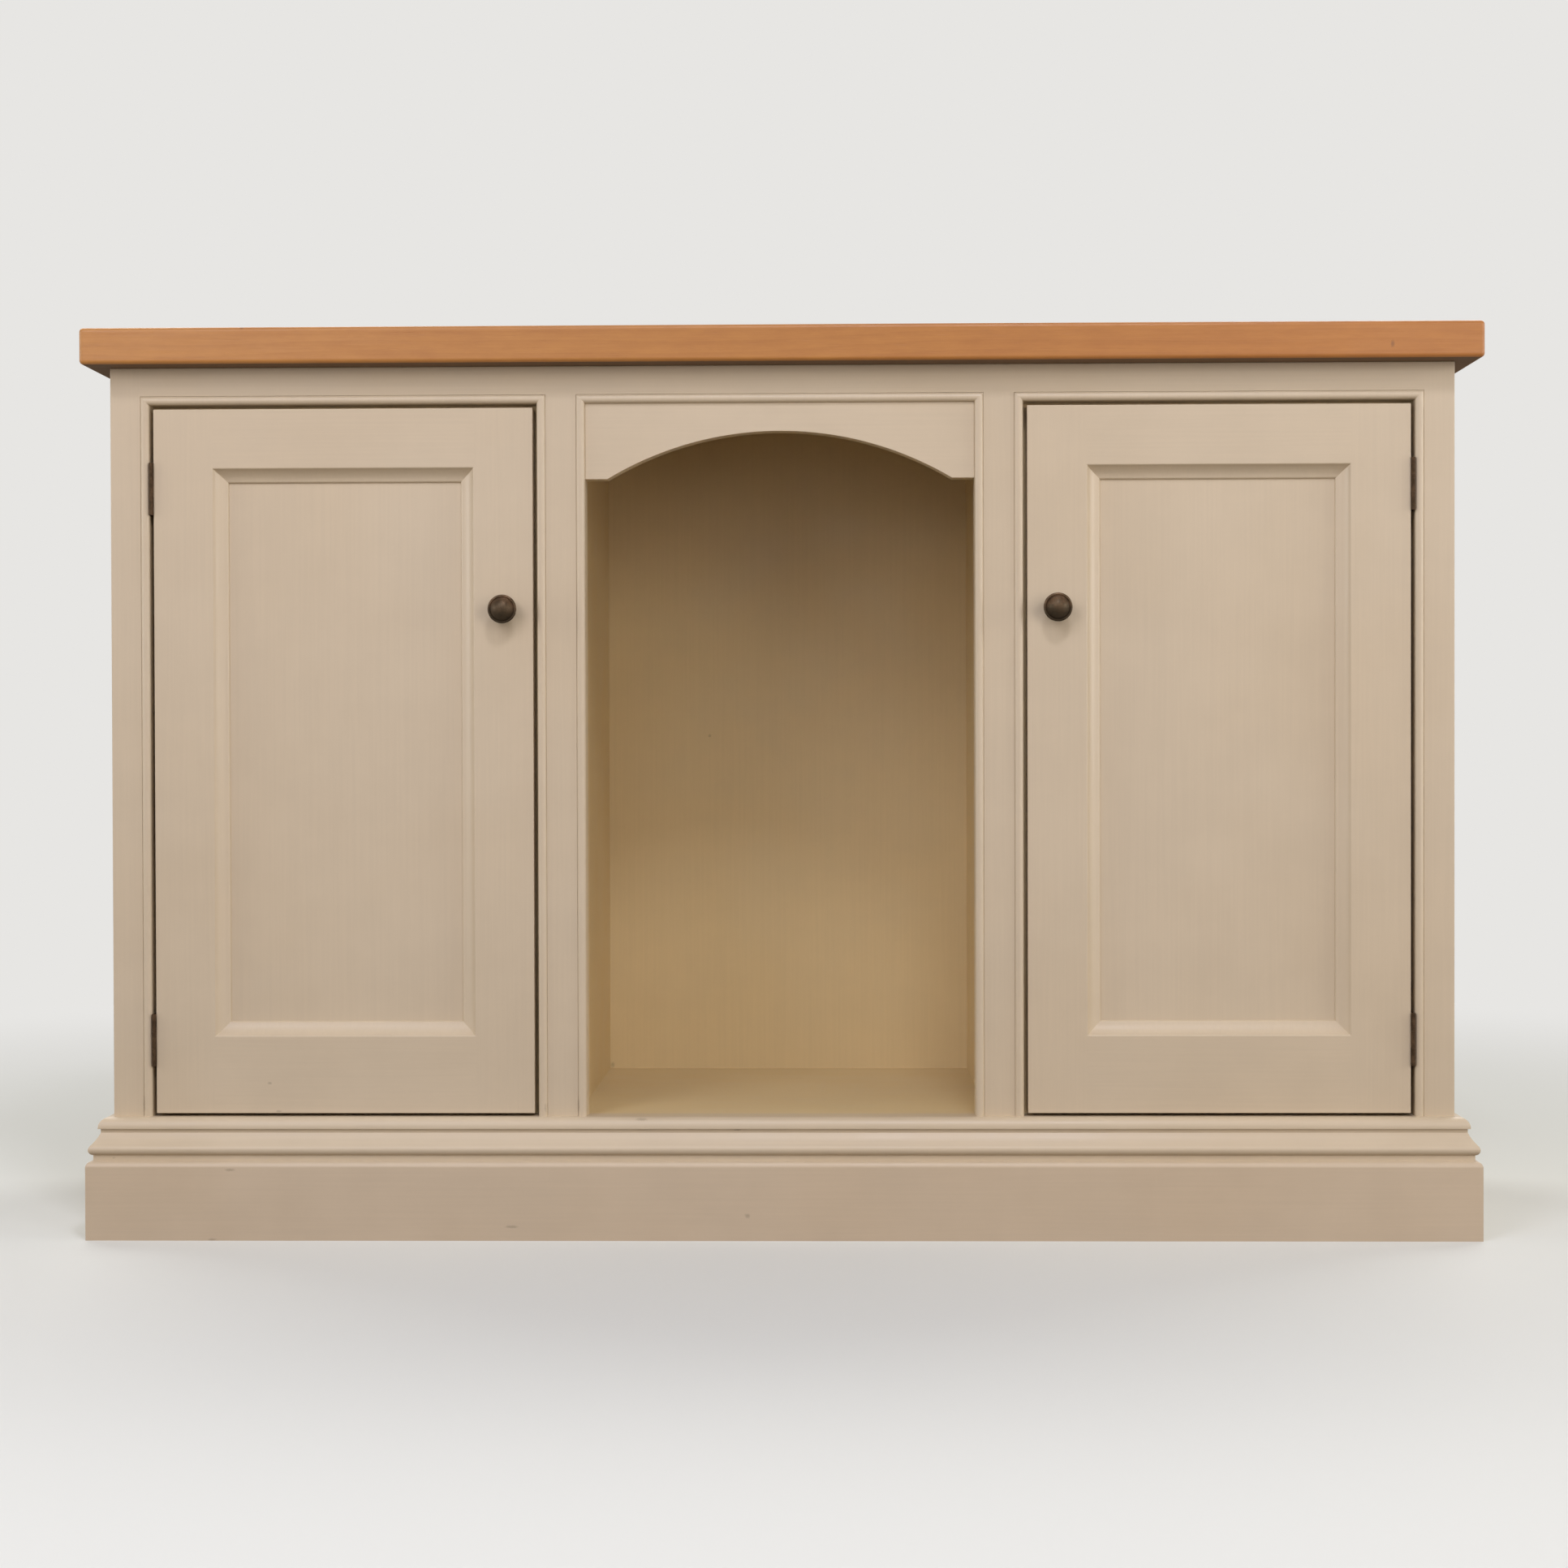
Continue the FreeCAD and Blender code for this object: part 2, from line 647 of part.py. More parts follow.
def make_door_frame(hinge_screw_holes, knob_hole):
    """Stiles grooved for the panel and mortised, and rails with haunched tenons."""
    thickness = ("face", "door_back")
    groove = ("groove_front", "groove_back")
    tenon = ("panel_front", "panel_back")
    top_tenon = ("field_top + groove_depth", "door_top - tenon_haunch")
    foot_tenon = ("door_bottom + tenon_haunch", "field_bottom - groove_depth")
    height = ("door_bottom", "door_top")

    def stile(name, x, groove_x, mortise_x, *holes):
        """A stile, with a groove down its inner edge and a mortise at each end."""
        cutters = [board(f"{name}_groove", groove_x, groove, height)]
        for end, (low, high) in (("top", top_tenon), ("foot", foot_tenon)):
            heights = (f"{low} - fit_clearance", f"{high} + fit_clearance")
            cutters.append(board(f"{name}_{end}_mortise", mortise_x, groove, heights))
        blank = board(f"{name}_blank", x, thickness, height)
        pair(cut(name, blank, *cutters, *holes), name.replace("right", "left"))

    stile(
        "right_door_hinge_stile",
        ("field_hinge", "door_hinge_edge"),
        ("field_hinge", "field_hinge + groove_depth"),
        ("field_hinge", "field_hinge + tenon_length + fit_clearance"),
        hinge_screw_holes,
    )
    stile(
        "right_door_lock_stile",
        ("door_lock_edge", "field_lock"),
        ("field_lock - groove_depth", "field_lock"),
        ("field_lock - tenon_length - fit_clearance", "field_lock"),
        knob_hole,
    )

    def rail(name, heights, tenon_heights, haunch_heights, groove_heights):
        """A rail between the stiles, with long tenons, haunches that fill the grooves, and a groove."""
        field = ("field_lock", "field_hinge")
        tenon_x = ("field_lock - tenon_length", "field_hinge + tenon_length")
        haunch_x = (
            "field_lock - groove_depth + fit_clearance",
            "field_hinge + groove_depth - fit_clearance",
        )
        solid = fused(
            f"{name}_solid",
            board(f"{name}_blank", field, thickness, heights),
            board(f"{name}_tenons", tenon_x, tenon, tenon_heights),
            board(f"{name}_haunches", haunch_x, tenon, haunch_heights),
        )
        plough = board(f"{name}_groove", field, groove, groove_heights)
        pair(cut(name, solid, plough), name.replace("right", "left"))

    rail(
        "right_door_top_rail",
        ("field_top", "door_top"),
        top_tenon,
        (top_tenon[0], "door_top"),
        ("field_top", "field_top + groove_depth"),
    )
    rail(
        "right_door_bottom_rail",
        ("door_bottom", "field_bottom"),
        foot_tenon,
        ("door_bottom", foot_tenon[1]),
        ("field_bottom - groove_depth", "field_bottom"),
    )


def make_door_panel():
    """The flat panel, loose in its grooves, and the mitred moulding planted round it."""
    edge = "groove_depth - panel_float"
    panel = board(
        "right_door_panel",
        (f"field_lock - ({edge})", f"field_hinge + {edge}"),
        ("panel_front", "panel_back"),
        (f"field_bottom - ({edge})", f"field_top + {edge}"),
    )
    pair(panel, "left_door_panel")

    width = "panel_moulding_width"
    steep = "(panel_moulding_lip_slope * 1 deg)"
    easy = "(panel_moulding_nose_slope * 1 deg)"
    lip_off = f"(panel_moulding_lip * sin({steep}))"
    lip_depth = f"(panel_moulding_lip * (1 - cos({steep})))"
    nose_off = f"({width} - panel_moulding_nose * (1 - sin({easy})))"
    nose_depth = f"(panel_recess - panel_moulding_nose * cos({easy}))"
    chord = f"sqrt(({nose_off} - {lip_off}) ^ 2 + ({nose_depth} - {lip_depth}) ^ 2)"
    radius = f"({chord} / (2 * sin(({steep} - {easy}) / 2)))"

    def section(place, turned):
        """A rounded lip at the frame, a slight hollow and a rounded nose. place(u) is u off the frame."""
        points = [
            (place("0"), "panel_front"),
            (place(width), "panel_front"),
            (place(nose_off), f"face + {nose_depth}", "panel_moulding_nose"),
            (place(lip_off), f"face + {lip_depth}", radius, "hollow"),
            (place("0"), "face", "panel_moulding_lip"),
        ]
        return with_bends(points, "left" if turned == "right" else "right", turned)

    def upright(name, edge, inward, turned):
        """A side strip, mitred at both ends."""
        inner = f"{edge} {inward} {width}"
        points = section(lambda u: f"{edge} {inward} ({u})", turned)
        strip = moulded(name, "XY_Plane", "field_bottom", points, "field_top - field_bottom")
        for end, corner, back in (("top", "field_top", "-"), ("foot", "field_bottom", "+")):
            mitred(
                strip,
                f"{name}_{end}_mitre",
                "XZ_Plane",
                "-face",
                (edge, corner),
                (inner, corner),
                (inner, f"{corner} {back} {width}"),
            )
        return strip

    def level(name, edge, inward, turned):
        """A top or bottom strip, mitred at both ends."""
        inner = f"{edge} {inward} {width}"
        points = section(lambda u: f"{edge} {inward} ({u})", turned)
        points = [(depth, height, *arc) for height, depth, *arc in points]
        strip = moulded(name, "YZ_Plane", "field_lock", points, "field_hinge - field_lock")
        for end, corner, back in (("lock", "field_lock", "+"), ("hinge", "field_hinge", "-")):
            mitred(
                strip,
                f"{name}_{end}_mitre",
                "XZ_Plane",
                "-face",
                (corner, edge),
                (corner, inner),
                (f"{corner} {back} {width}", inner),
            )
        return strip

    strips = grouped(
        "right_door_panel_moulding",
        upright("panel_moulding_lock_side", "field_lock", "+", "left"),
        upright("panel_moulding_hinge_side", "field_hinge", "-", "right"),
        level("panel_moulding_foot", "field_bottom", "+", "right"),
        level("panel_moulding_head", "field_top", "-", "left"),
    )
    pair(strips, "left_door_panel_moulding")


def bands(along, radius, bend, start, end):
    """Corners of the straight bands that stand for an arc about a centre, between two angles."""
    angles = [start + (end - start) * step / ROUND_BANDS for step in range(ROUND_BANDS + 1)]
    return [(along + bend * math.cos(angle), radius + bend * math.sin(angle)) for angle in angles]


def turned(profile, flats):
    """A solid turned about its own Z axis and drawn with flats, from (along, radius) corners."""
    turns = [2 * math.pi * flat / flats for flat in range(flats + 1)]
    rings = []
    for along, radius in profile:
        ring = [FreeCAD.Vector(radius * math.cos(turn), radius * math.sin(turn), along) for turn in turns]
        rings.append(ring)
    faces = [Part.Face(Part.makePolygon(ring)) for ring in (rings[0], rings[-1])]
    for ring, following in zip(rings, rings[1:]):
        for flat in range(flats):
            corners = [ring[flat], ring[flat + 1], following[flat + 1], following[flat], ring[flat]]
            faces.append(Part.Face(Part.makePolygon(corners)))
    return Part.makeSolid(Part.makeShell(faces)).removeSplitter()


def make_knob():
    """A turned knob: base, waisted neck, flared cap with a rounded rim, a ring groove and a dome."""
    base = number("knob_base_diameter") / 2
    base_top = number("knob_base_thickness")
    neck = number("knob_neck_diameter") / 2
    neck_start = number("knob_neck_start")
    cap_start = number("knob_cap_start")
    rim_bend = number("knob_rim_radius")
    rim = number("knob_diameter") / 2 - rim_bend
    rim_middle = number("knob_rim_front") - rim_bend
    groove = number("knob_diameter / 2 - knob_rim_width")
    tip = number("knob_projection")
    bore = number("(knob_screw_diameter + fit_clearance) / 2")

    waist_run = neck_start - base_top
    waist_bend = ((base - neck) ** 2 + waist_run ** 2) / (2 * (base - neck))
    waist_angle = math.atan2(waist_bend - (base - neck), waist_run)
    flare_run = rim_middle - rim_bend - cap_start
    flare_bend = ((rim - neck) ** 2 + flare_run ** 2) / (2 * (rim - neck))
    flare_angle = math.atan2(rim - neck - flare_bend, flare_run)
    dome_height = tip - number("knob_rim_front - knob_groove_depth")
    dome_bend = (groove ** 2 + dome_height ** 2) / (2 * dome_height)
    dome_angle = math.acos(1 - dome_height / dome_bend)
    tip_angle = math.asin(number("knob_tip_diameter") / 2 / dome_bend)

    hole = [(number("knob_screw_depth"), bore), (0, bore), (0, base)]
    waist = bands(neck_start, neck + waist_bend, waist_bend, math.pi + waist_angle, 1.5 * math.pi)
    flare = bands(cap_start, neck + flare_bend, flare_bend, -math.pi / 2, flare_angle)
    rounded_rim = bands(rim_middle, rim, rim_bend, math.pi, 0)
    dome = bands(tip - dome_bend, 0, dome_bend, dome_angle, tip_angle)
    knob = doc.addObject("Part::Feature", "right_door_knob")
    knob.Shape = turned(hole + waist + flare + rounded_rim[1:] + dome, KNOB_FLATS)
    put(knob, "knob_x", "face", "knob_z", TO_FRONT)
    pair(knob, "left_door_knob")


def make_knob_screw():
    """The machine screw that comes through the lock stile into the knob."""
    start = ("knob_x", "door_back + knob_screw_head_height", "knob_z")
    head = shank("knob_screw_head", "knob_screw_head_diameter", "knob_screw_head_height", start, TO_FRONT)
    length = "knob_screw_head_height + door_thickness + knob_screw_depth - fit_clearance"
    stem = shank("knob_screw_stem", "knob_screw_diameter", length, start, TO_FRONT)
    pair(fused("right_door_knob_screw", head, stem), "left_door_knob_screw")


def knob_stile_hole():
    """The clearance hole for that screw through the lock stile."""
    start = ("knob_x", "door_back", "knob_z")
    return shank("knob_hole", "knob_screw_diameter + 2 * fit_clearance", "door_thickness", start, TO_FRONT)


def countersunk(name, place, turn, extra):
    """A countersunk wood screw, or with extra clearance on its radii the hole for it."""
    rim = doc.addObject("Part::RegularPolygon", f"{name}_rim")
    rim.Polygon = SCREW_FLATS
    bind(rim, Circumradius=f"hinge_screw_head_diameter / 2 + {extra}")
    put(rim, *place, turn)
    head = doc.addObject("Part::Extrusion", f"{name}_head")
    head.Base = rim
    head.DirMode = "Normal"
    head.Solid = True
    inward = f"(hinge_screw_head_diameter - hinge_screw_diameter) / 2 * cos(180 / {SCREW_FLATS})"
    bind(head, LengthFwd="hinge_leaf_thickness", TaperAngle=f"-atan({inward} / hinge_leaf_thickness)")
    diameter = f"hinge_screw_diameter + 2 * {extra}"
    stem = shank(f"{name}_stem", diameter, f"hinge_screw_length + {extra}", place, turn)
    return fused(name, head, stem)


def hinge_screws(name, surface, turn, extra):
    """The screws, or their holes, of one leaf of both hinges: three to a leaf, in a zigzag."""
    screws = []
    for hinge, level in HINGE_LEVELS.items():
        for row in HINGE_SCREW_ROWS:
            depth = f"face + hinge_leaf_width / 2 + {abs(row)} * hinge_screw_stagger"
            height = f"{level} + {row} * hinge_screw_spacing"
            label = f"{name}_{hinge}_{row + 1}"
            screws.append(countersunk(label, (surface, depth, height), turn, extra))
    return screws


FRAME_LEAF = ("bay_outer - hinge_leaf_thickness", "bay_outer")
DOOR_LEAF = ("door_hinge_edge", "door_hinge_edge + hinge_leaf_thickness")


def make_hinges(frame_holes, door_holes):
    """Two butt hinges: leaves flat in the door gap, interleaved knuckles and a pin."""

    def leaf(name, level, x, knuckles, bore_diameter, holes):
        """A plate with a tab up to each of its own knuckles, bored for the pin and drilled for screws."""
        foot = f"({level} - hinge_length / 2)"
        front = "face + hinge_leaf_setback"
        plate = (front, "face + hinge_leaf_width")
        pieces = [board(f"{name}_plate", x, plate, (foot, f"{foot} + hinge_length"))]
        for knuckle in knuckles:
            low = f"{foot} + {knuckle} * knuckle_pitch + hinge_knuckle_gap / 2"
            high = f"{foot} + {knuckle + 1} * knuckle_pitch - hinge_knuckle_gap / 2"
            pieces.append(board(f"{name}_tab_{knuckle}", x, ("pin_y", front), (low, high)))
            place = ("pin_x", "pin_y", low)
            length = "knuckle_pitch - hinge_knuckle_gap"
            pieces.append(rod(f"{name}_knuckle_{knuckle}", "hinge_knuckle_diameter", length, place))
        bore = rod(f"{name}_bore", bore_diameter, "hinge_length", ("pin_x", "pin_y", foot))
        return cut(name, fused(f"{name}_solid", *pieces), bore, holes)

    def pin(name, level):
        """A plain pin, tight in the frame's knuckles and free in the door's."""
        foot = f"{level} - hinge_length / 2 + hinge_knuckle_gap / 2"
        length = "hinge_length - hinge_knuckle_gap"
        return rod(name, "hinge_pin_diameter", length, ("pin_x", "pin_y", foot))

    tight = "hinge_pin_diameter"
    free = "hinge_pin_diameter + 2 * hinge_pin_clearance"
    frame_leaves = []
    door_leaves = []
    pins = []
    for hinge, level in HINGE_LEVELS.items():
        name = f"{hinge}_frame_leaf"
        frame_leaves.append(leaf(name, level, FRAME_LEAF, FRAME_KNUCKLES, tight, frame_holes))
        name = f"{hinge}_door_leaf"
        door_leaves.append(leaf(name, level, DOOR_LEAF, DOOR_KNUCKLES, free, door_holes))
        pins.append(pin(f"{hinge}_hinge_pin", level))
    pair(grouped("right_hinge_frame_leaves", *frame_leaves), "left_hinge_frame_leaves")
    pair(grouped("right_hinge_door_leaves", *door_leaves), "left_hinge_door_leaves")
    pair(grouped("right_hinge_pins", *pins), "left_hinge_pins")


def make_hinge_screws():
    """The screws of the frame leaves, which share a node, and those of each door's leaves."""
    frame_side = grouped("right_frame_screws", *hinge_screws("frame_screw", FRAME_LEAF[0], TO_RIGHT, "0"))
    node(grouped("frame_hinge_screws", frame_side, mirrored("left_frame_screws", frame_side)))
    door_side = hinge_screws("door_screw", DOOR_LEAF[1], TO_LEFT, "0")
    pair(grouped("right_door_hinge_screws", *door_side), "left_door_hinge_screws")


def make_cupboard_fittings():
    """A shelf on cleats in each cupboard, a stop behind the head of each door, and a catch under it."""
    shelf = board(
        "right_shelf",
        ("partition_outer + shelf_clearance", "side_inner - shelf_clearance"),
        ("frame_back + shelf_front_setback", "back_inner - shelf_clearance"),
        ("shelf_height", "shelf_top"),
    )
    pair(shelf, "left_shelf")
    battens_x = {
        "outer": ("side_inner - batten_size", "side_inner"),
        "inner": ("partition_outer", "partition_outer + batten_size"),
    }
    length = ("batten_front", "batten_back")
    cleats = []
    for place, x in battens_x.items():
        cleat = board(f"cleat_{place}_right", x, length, ("shelf_height - batten_size", "shelf_height"))
        cleats += [cleat, mirrored(f"cleat_{place}_left", cleat)]
    node(grouped("shelf_cleats", *cleats))

    cupboard = ("partition_outer", "side_inner")
    stop = board("door_stop_right", cupboard, ("frame_back", "stop_back"), ("stop_foot", "top_under"))
    strip = board(
        "closing_strip_right",
        ("partition_outer", "door_lock_edge + closing_strip_overlap"),
        ("frame_back", "frame_back + closing_strip_thickness"),
        ("floor_level", "stop_foot"),
    )
    stops = [stop, strip, mirrored("door_stop_left", stop), mirrored("closing_strip_left", strip)]
    node(grouped("door_stops", *stops))
    catch_start = "door_lock_edge + catch_from_lock_edge"
    catch = board(
        "catch_right",
        (catch_start, f"{catch_start} + catch_length"),
        ("strike_back + catch_clearance", "stop_back"),
        ("stop_foot - catch_height", "stop_foot"),
    )
    node(grouped("door_catches", catch, mirrored("catch_left", catch)))
    strike_start = f"{catch_start} + (catch_length - strike_length) / 2"
    strike_foot = "stop_foot - (catch_height + strike_height) / 2"
    strike = board(
        "right_door_strike",
        (strike_start, f"{strike_start} + strike_length"),
        ("door_back", "strike_back"),
        (strike_foot, f"{strike_foot} + strike_height"),
    )
    pair(strike, "left_door_strike")


def make_top_fixings(slab):
    """Battens along the cupboards' heads, and the screws that come up through them into the top."""
    battens = []
    screws = []
    holes = []
    heads = {
        "outer": "side_inner - batten_size",
        "inner": "partition_outer",
    }
    ends = {"front": "batten_front + top_screw_inset", "rear": "batten_back - top_screw_inset"}
    foot = "top_under - batten_size"
    for place, x in heads.items():
        blank = board(
            f"batten_{place}_blank",
            (x, f"{x} + batten_size"),
            ("batten_front", "batten_back"),
            (foot, "top_under"),
        )
        drilled = []
        for end, y in ends.items():
            start = (f"{x} + batten_size / 2", y, foot)
            reach = "batten_size + top_screw_bite"
            name = f"top_screw_{place}_{end}"
            head_place = (*start[:2], f"{foot} - top_screw_head_height")
            head = shank(f"{name}_head", "top_screw_head_diameter", "top_screw_head_height", head_place)
            stem = shank(f"{name}_stem", "top_screw_diameter", reach, start)
            screws.append(fused(name, head, stem))
            hole_diameter = "top_screw_diameter + fit_clearance"
            drilled.append(shank(f"{name}_hole", hole_diameter, f"{reach} + fit_clearance", start))
        battens.append(cut(f"batten_{place}", blank, *drilled))
        holes += drilled
    for name, pieces in (("top_fixing_battens", battens), ("top_fixing_screws", screws)):
        right = grouped(f"{name}_right", *pieces)
        node(grouped(name, right, mirrored(f"{name}_left", right)))
    right_holes = fused("top_pilot_holes", *holes)
    node(cut("top_board", slab, right_holes, mirrored("top_pilot_holes_left", right_holes)))


def make_everything():
    """All the pieces, from the carcass to the doors and their hardware."""
    make_carcass()
    clearance = "hinge_screw_clearance"
    frame_holes = fused("frame_leaf_holes", *hinge_screws("frame_hole", FRAME_LEAF[0], TO_RIGHT, clearance))
    door_holes = fused("door_leaf_holes", *hinge_screws("door_hole", DOOR_LEAF[1], TO_LEFT, clearance))
    make_face_frame(frame_holes)
    make_beads(frame_holes)
    make_apron()
    make_plinth("plinth", plinth_section, "plinth_thickness")
    make_plinth("plinth_moulding", moulding_section, "moulding_nose_out")
    make_door_frame(door_holes, knob_stile_hole())
    make_door_panel()
    make_knob()
    make_knob_screw()
    make_hinges(frame_holes, door_holes)
    make_hinge_screws()
    make_cupboard_fittings()
    make_top_fixings(make_top())


def check_everything():
    """Stops if a feature failed, a cut missed its piece or a piece isn't a sound solid."""
    for item in doc.Objects:
        if "Invalid" in item.State or "Error" in item.State:
            raise RuntimeError(f"{item.Name} failed: {item.State}")
        if item.TypeId == "PartDesign::Pocket" and item.Shape.Volume >= item.BaseFeature.Shape.Volume:
            raise RuntimeError(f"{item.Name} cut nothing")
    for piece in nodes:
        if piece.Shape.isNull() or not piece.Shape.isValid() or not piece.Shape.Solids:
            raise RuntimeError(f"{piece.Label} isn't a sound solid")


make_everything()
doc.recompute()
check_everything()
os.makedirs("parts", exist_ok=True)
for piece in nodes:
    piece.Shape.exportStep(f"parts/{piece.Label}.step")
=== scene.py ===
import json
import math
import random

import bmesh
import bpy
from mathutils import Matrix, Vector


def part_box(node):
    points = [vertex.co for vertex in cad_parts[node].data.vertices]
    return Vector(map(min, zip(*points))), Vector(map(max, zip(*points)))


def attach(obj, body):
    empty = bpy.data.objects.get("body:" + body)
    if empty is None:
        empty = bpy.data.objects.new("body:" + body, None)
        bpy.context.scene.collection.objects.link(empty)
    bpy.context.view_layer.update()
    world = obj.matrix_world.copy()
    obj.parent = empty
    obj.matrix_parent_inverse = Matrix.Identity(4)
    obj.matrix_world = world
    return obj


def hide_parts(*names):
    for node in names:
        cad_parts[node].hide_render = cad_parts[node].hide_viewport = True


# A cream-painted dresser base with a timber top, two panelled doors and an open alcove. The packed
# model gives every board, hinge and moulding its place; this script gives them their finish, softens
# their arrises, and turns the knobs and screws. Lengths are metres, in the model's own frame.

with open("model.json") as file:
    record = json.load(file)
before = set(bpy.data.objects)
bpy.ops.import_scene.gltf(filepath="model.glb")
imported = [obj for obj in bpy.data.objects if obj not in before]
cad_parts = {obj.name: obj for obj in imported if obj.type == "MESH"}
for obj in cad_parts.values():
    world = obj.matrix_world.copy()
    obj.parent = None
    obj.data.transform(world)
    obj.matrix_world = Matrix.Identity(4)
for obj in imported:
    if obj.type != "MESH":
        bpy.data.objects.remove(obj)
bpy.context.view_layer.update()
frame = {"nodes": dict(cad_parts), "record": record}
nodes = frame["nodes"]

MM = 0.001
CARCASS = "carcass"
SIDES = ("left", "right")
DOOR_FRAME = ("hinge_stile", "lock_stile", "top_rail", "bottom_rail")
RANDOM = random.Random(5730)

# Photograph and camera, with turns in radians
PHOTO_SIDE = 1932
FOCAL_PIXELS = 3376.5
SENSOR_WIDTH = 36.0
CAMERA_PLACE = Vector((0.0566, -2.9084, 0.4821))
CAMERA_YAW = 0.01949
CAMERA_DIP = 0.01199
CAMERA_ROLL = -0.00266

# Colours, linear. A pair is the two tones that a finish wanders between
CREAM = ((0.604, 0.500, 0.347), (0.574, 0.458, 0.299))
# A warmer, slightly darker copy of the cream for the plinth, as painted shade low down
PLINTH_CREAM_SHADED = ((0.600, 0.486, 0.338), (0.570, 0.444, 0.290))
# A lighter, yellower copy of the cream for the inside, as painted warm bounced light
INNER_CREAM_BOUNCE_LIT = ((0.694, 0.546, 0.293), (0.656, 0.502, 0.249))
GRIME = (0.10, 0.065, 0.035)
TOP_PALE = (0.545, 0.230, 0.050)
TOP_DEEP = (0.366, 0.128, 0.025)
TOP_KNOT = (0.110, 0.045, 0.018)
# Painted shade on the top's underside
TOP_UNDER_SHADE = (0.150, 0.083, 0.036)
# Painted sheen on the top: paler and cooler to the left, deeper and warmer to the right
TOP_SHEEN_LEFT = (0.98, 1.03, 1.03)
TOP_SHEEN_RIGHT = (0.92, 0.87, 0.75)
PINE = ((0.62, 0.43, 0.24), (0.44, 0.26, 0.12))
PLY = ((0.60, 0.44, 0.27), (0.47, 0.32, 0.18))
BRONZE = ((0.026, 0.014, 0.007), (0.088, 0.050, 0.026))
HINGE = ((0.028, 0.016, 0.008), (0.078, 0.046, 0.025))
STEEL = ((0.42, 0.41, 0.39), (0.60, 0.59, 0.57))
PLASTIC = ((0.085, 0.048, 0.026), (0.12, 0.07, 0.04))
BROWN_SHEEN = (1.0, 0.78, 0.50, 1.0)
WHITE_SHEEN = (1.0, 1.0, 1.0, 1.0)
PALE_STAGE = (0.80, 0.79, 0.77)
FLOOR_PALE = (0.80, 0.815, 0.755)
FLOOR_BOUNCE = (0.15, 0.13, 0.105)
BLACK = (0.0, 0.0, 0.0)

# The floor's half width, and how far out it starts to fade into the surround and where it has
FLOOR_REACH = 12.0
FLOOR_FADE = (0.9, 2.6)

# Lamps: degrees round from the front and up, then distance, width, height, watts and colour
HEART = Vector((0.0, -0.2, 0.5))
COOL = (0.86, 0.86, 1.0)
PLAIN = (1.0, 0.97, 0.95)
WARM = (1.0, 0.87, 0.85)
LAMPS = {
    "key": (-30, 40, 3.4, 1.2, 0.8, 16.0, COOL),
    "key_foot": (-30, 27, 3.6, 1.2, 0.8, 14.0, COOL),
    "middle": (0, 37, 3.4, 1.2, 0.8, 5.5, COOL),
    "high": (10, 51, 3.2, 0.5, 0.4, 26.3, COOL),
    "overhead": (0, 75, 3.0, 1.6, 0.8, 5.0, COOL),
    "left": (-75, 10, 3.5, 1.4, 1.4, 30.0, PLAIN),
    "right": (75, 10, 3.5, 1.4, 1.4, 38.5, PLAIN),
    "front_left": (-25, 15, 3.8, 1.4, 0.8, 10.4, WARM),
    "front_right": (27, 20, 3.8, 1.4, 0.8, 16.5, PLAIN),
    "low": (0, 3, 4.2, 2.0, 1.2, 8.6, WARM),
    "low_left": (-40, 3, 4.0, 1.6, 1.2, 6.0, COOL),
    "low_right": (40, 3, 4.0, 1.6, 1.2, 22.0, WARM),
    "back_left": (-140, 45, 3.6, 2.0, 1.6, 45.0, PLAIN),
    "back_right": (140, 45, 3.6, 2.0, 1.6, 45.0, PLAIN),
}

# Where most of a noise's values lie. Noise sizes below are waves to a metre, or one for each axis
NOISE_SPAN = (0.3, 0.7)

# Paint: its noises, what they do to tone and roughness, and the depths of its brush marks
BRUSH_WAVES = 380.0
BRUSH_WAVES_ALONG = 7.0
CLOUD_WAVES = 3.2
PATCH_WAVES = 14.0
STIPPLE_WAVES = 650.0
CLOUD_SPAN = (0.35, 0.75)
AGED_SHARE = (0.0, 0.5)
STREAK = (0.985, 1.012)
BLOTCH = (0.980, 1.016)
EGGSHELL = (0.36, 0.44)
BRUSH_DEPTH = 0.02 * MM
STIPPLE_DEPTH = 0.015 * MM

# Bare plywood, behind this y on the back sheet
BACK_BARE_FROM = 217.2 * MM
PLY_FIBRE_WAVES = (260.0, 260.0, 9.0)
PLY_FIGURE_WAVES = (14.0, 14.0, 1.6)
PLY_TWIST = 1.2
PLY_FIBRE_SHARE = 0.5
PLY_ROUGHER = 0.3

# Timber of the top: the width of its boards, and rings about a line below them
TOP_BOARD = 112 * MM
BOARD_SHIFT = 3.7
BOARD_TONES = (0.96, 1.04)
RING_LINE = 0.83
RING_SWAY = 0.06
RINGS_TO_METRE = 120.0
LATE_RISE = (0.3, 0.9)
LATE_FALL = (1.0, 0.92)
SWAY_WAVES = (1.3, 7.0, 7.0)
FIBRE_WAVES = (11.0, 560.0, 560.0)
PORE_WAVES = (34.0, 820.0, 820.0)
TOP_CLOUD_WAVES = (1.8, 10.0, 10.0)
MOTTLE_WAVES = (26.0, 90.0, 90.0)
FIBRE_SPAN = (0.25, 0.75)
PORE_SPAN = (0.63, 0.74)
FIBRE_SHARE = 0.36
LATE_SHARE = 0.30
MOTTLE_SHARE = 0.24
TOP_CLOUD_SHARE = 0.24
PORE_SHARE = 0.20
WAX = (0.34, 0.46)
PORE_DEPTH = -0.05 * MM
FIBRE_DEPTH = 0.02 * MM

# How strong the figure is on the top's edges and on its face, and how deep the face's figure goes
FIGURE_STRENGTH = (0.45, 1.0)
FIGURE_SKIN = 2 * MM

# The stretch of x in which the top's painted sheen goes from its left tint to its right one
SHEEN_STRETCH = (-0.2, 0.65)

# The top's underside: duller, and darkened as painted shade
UNDER_SKIN = 0.2 * MM
UNDER_ROUGHER = 0.5

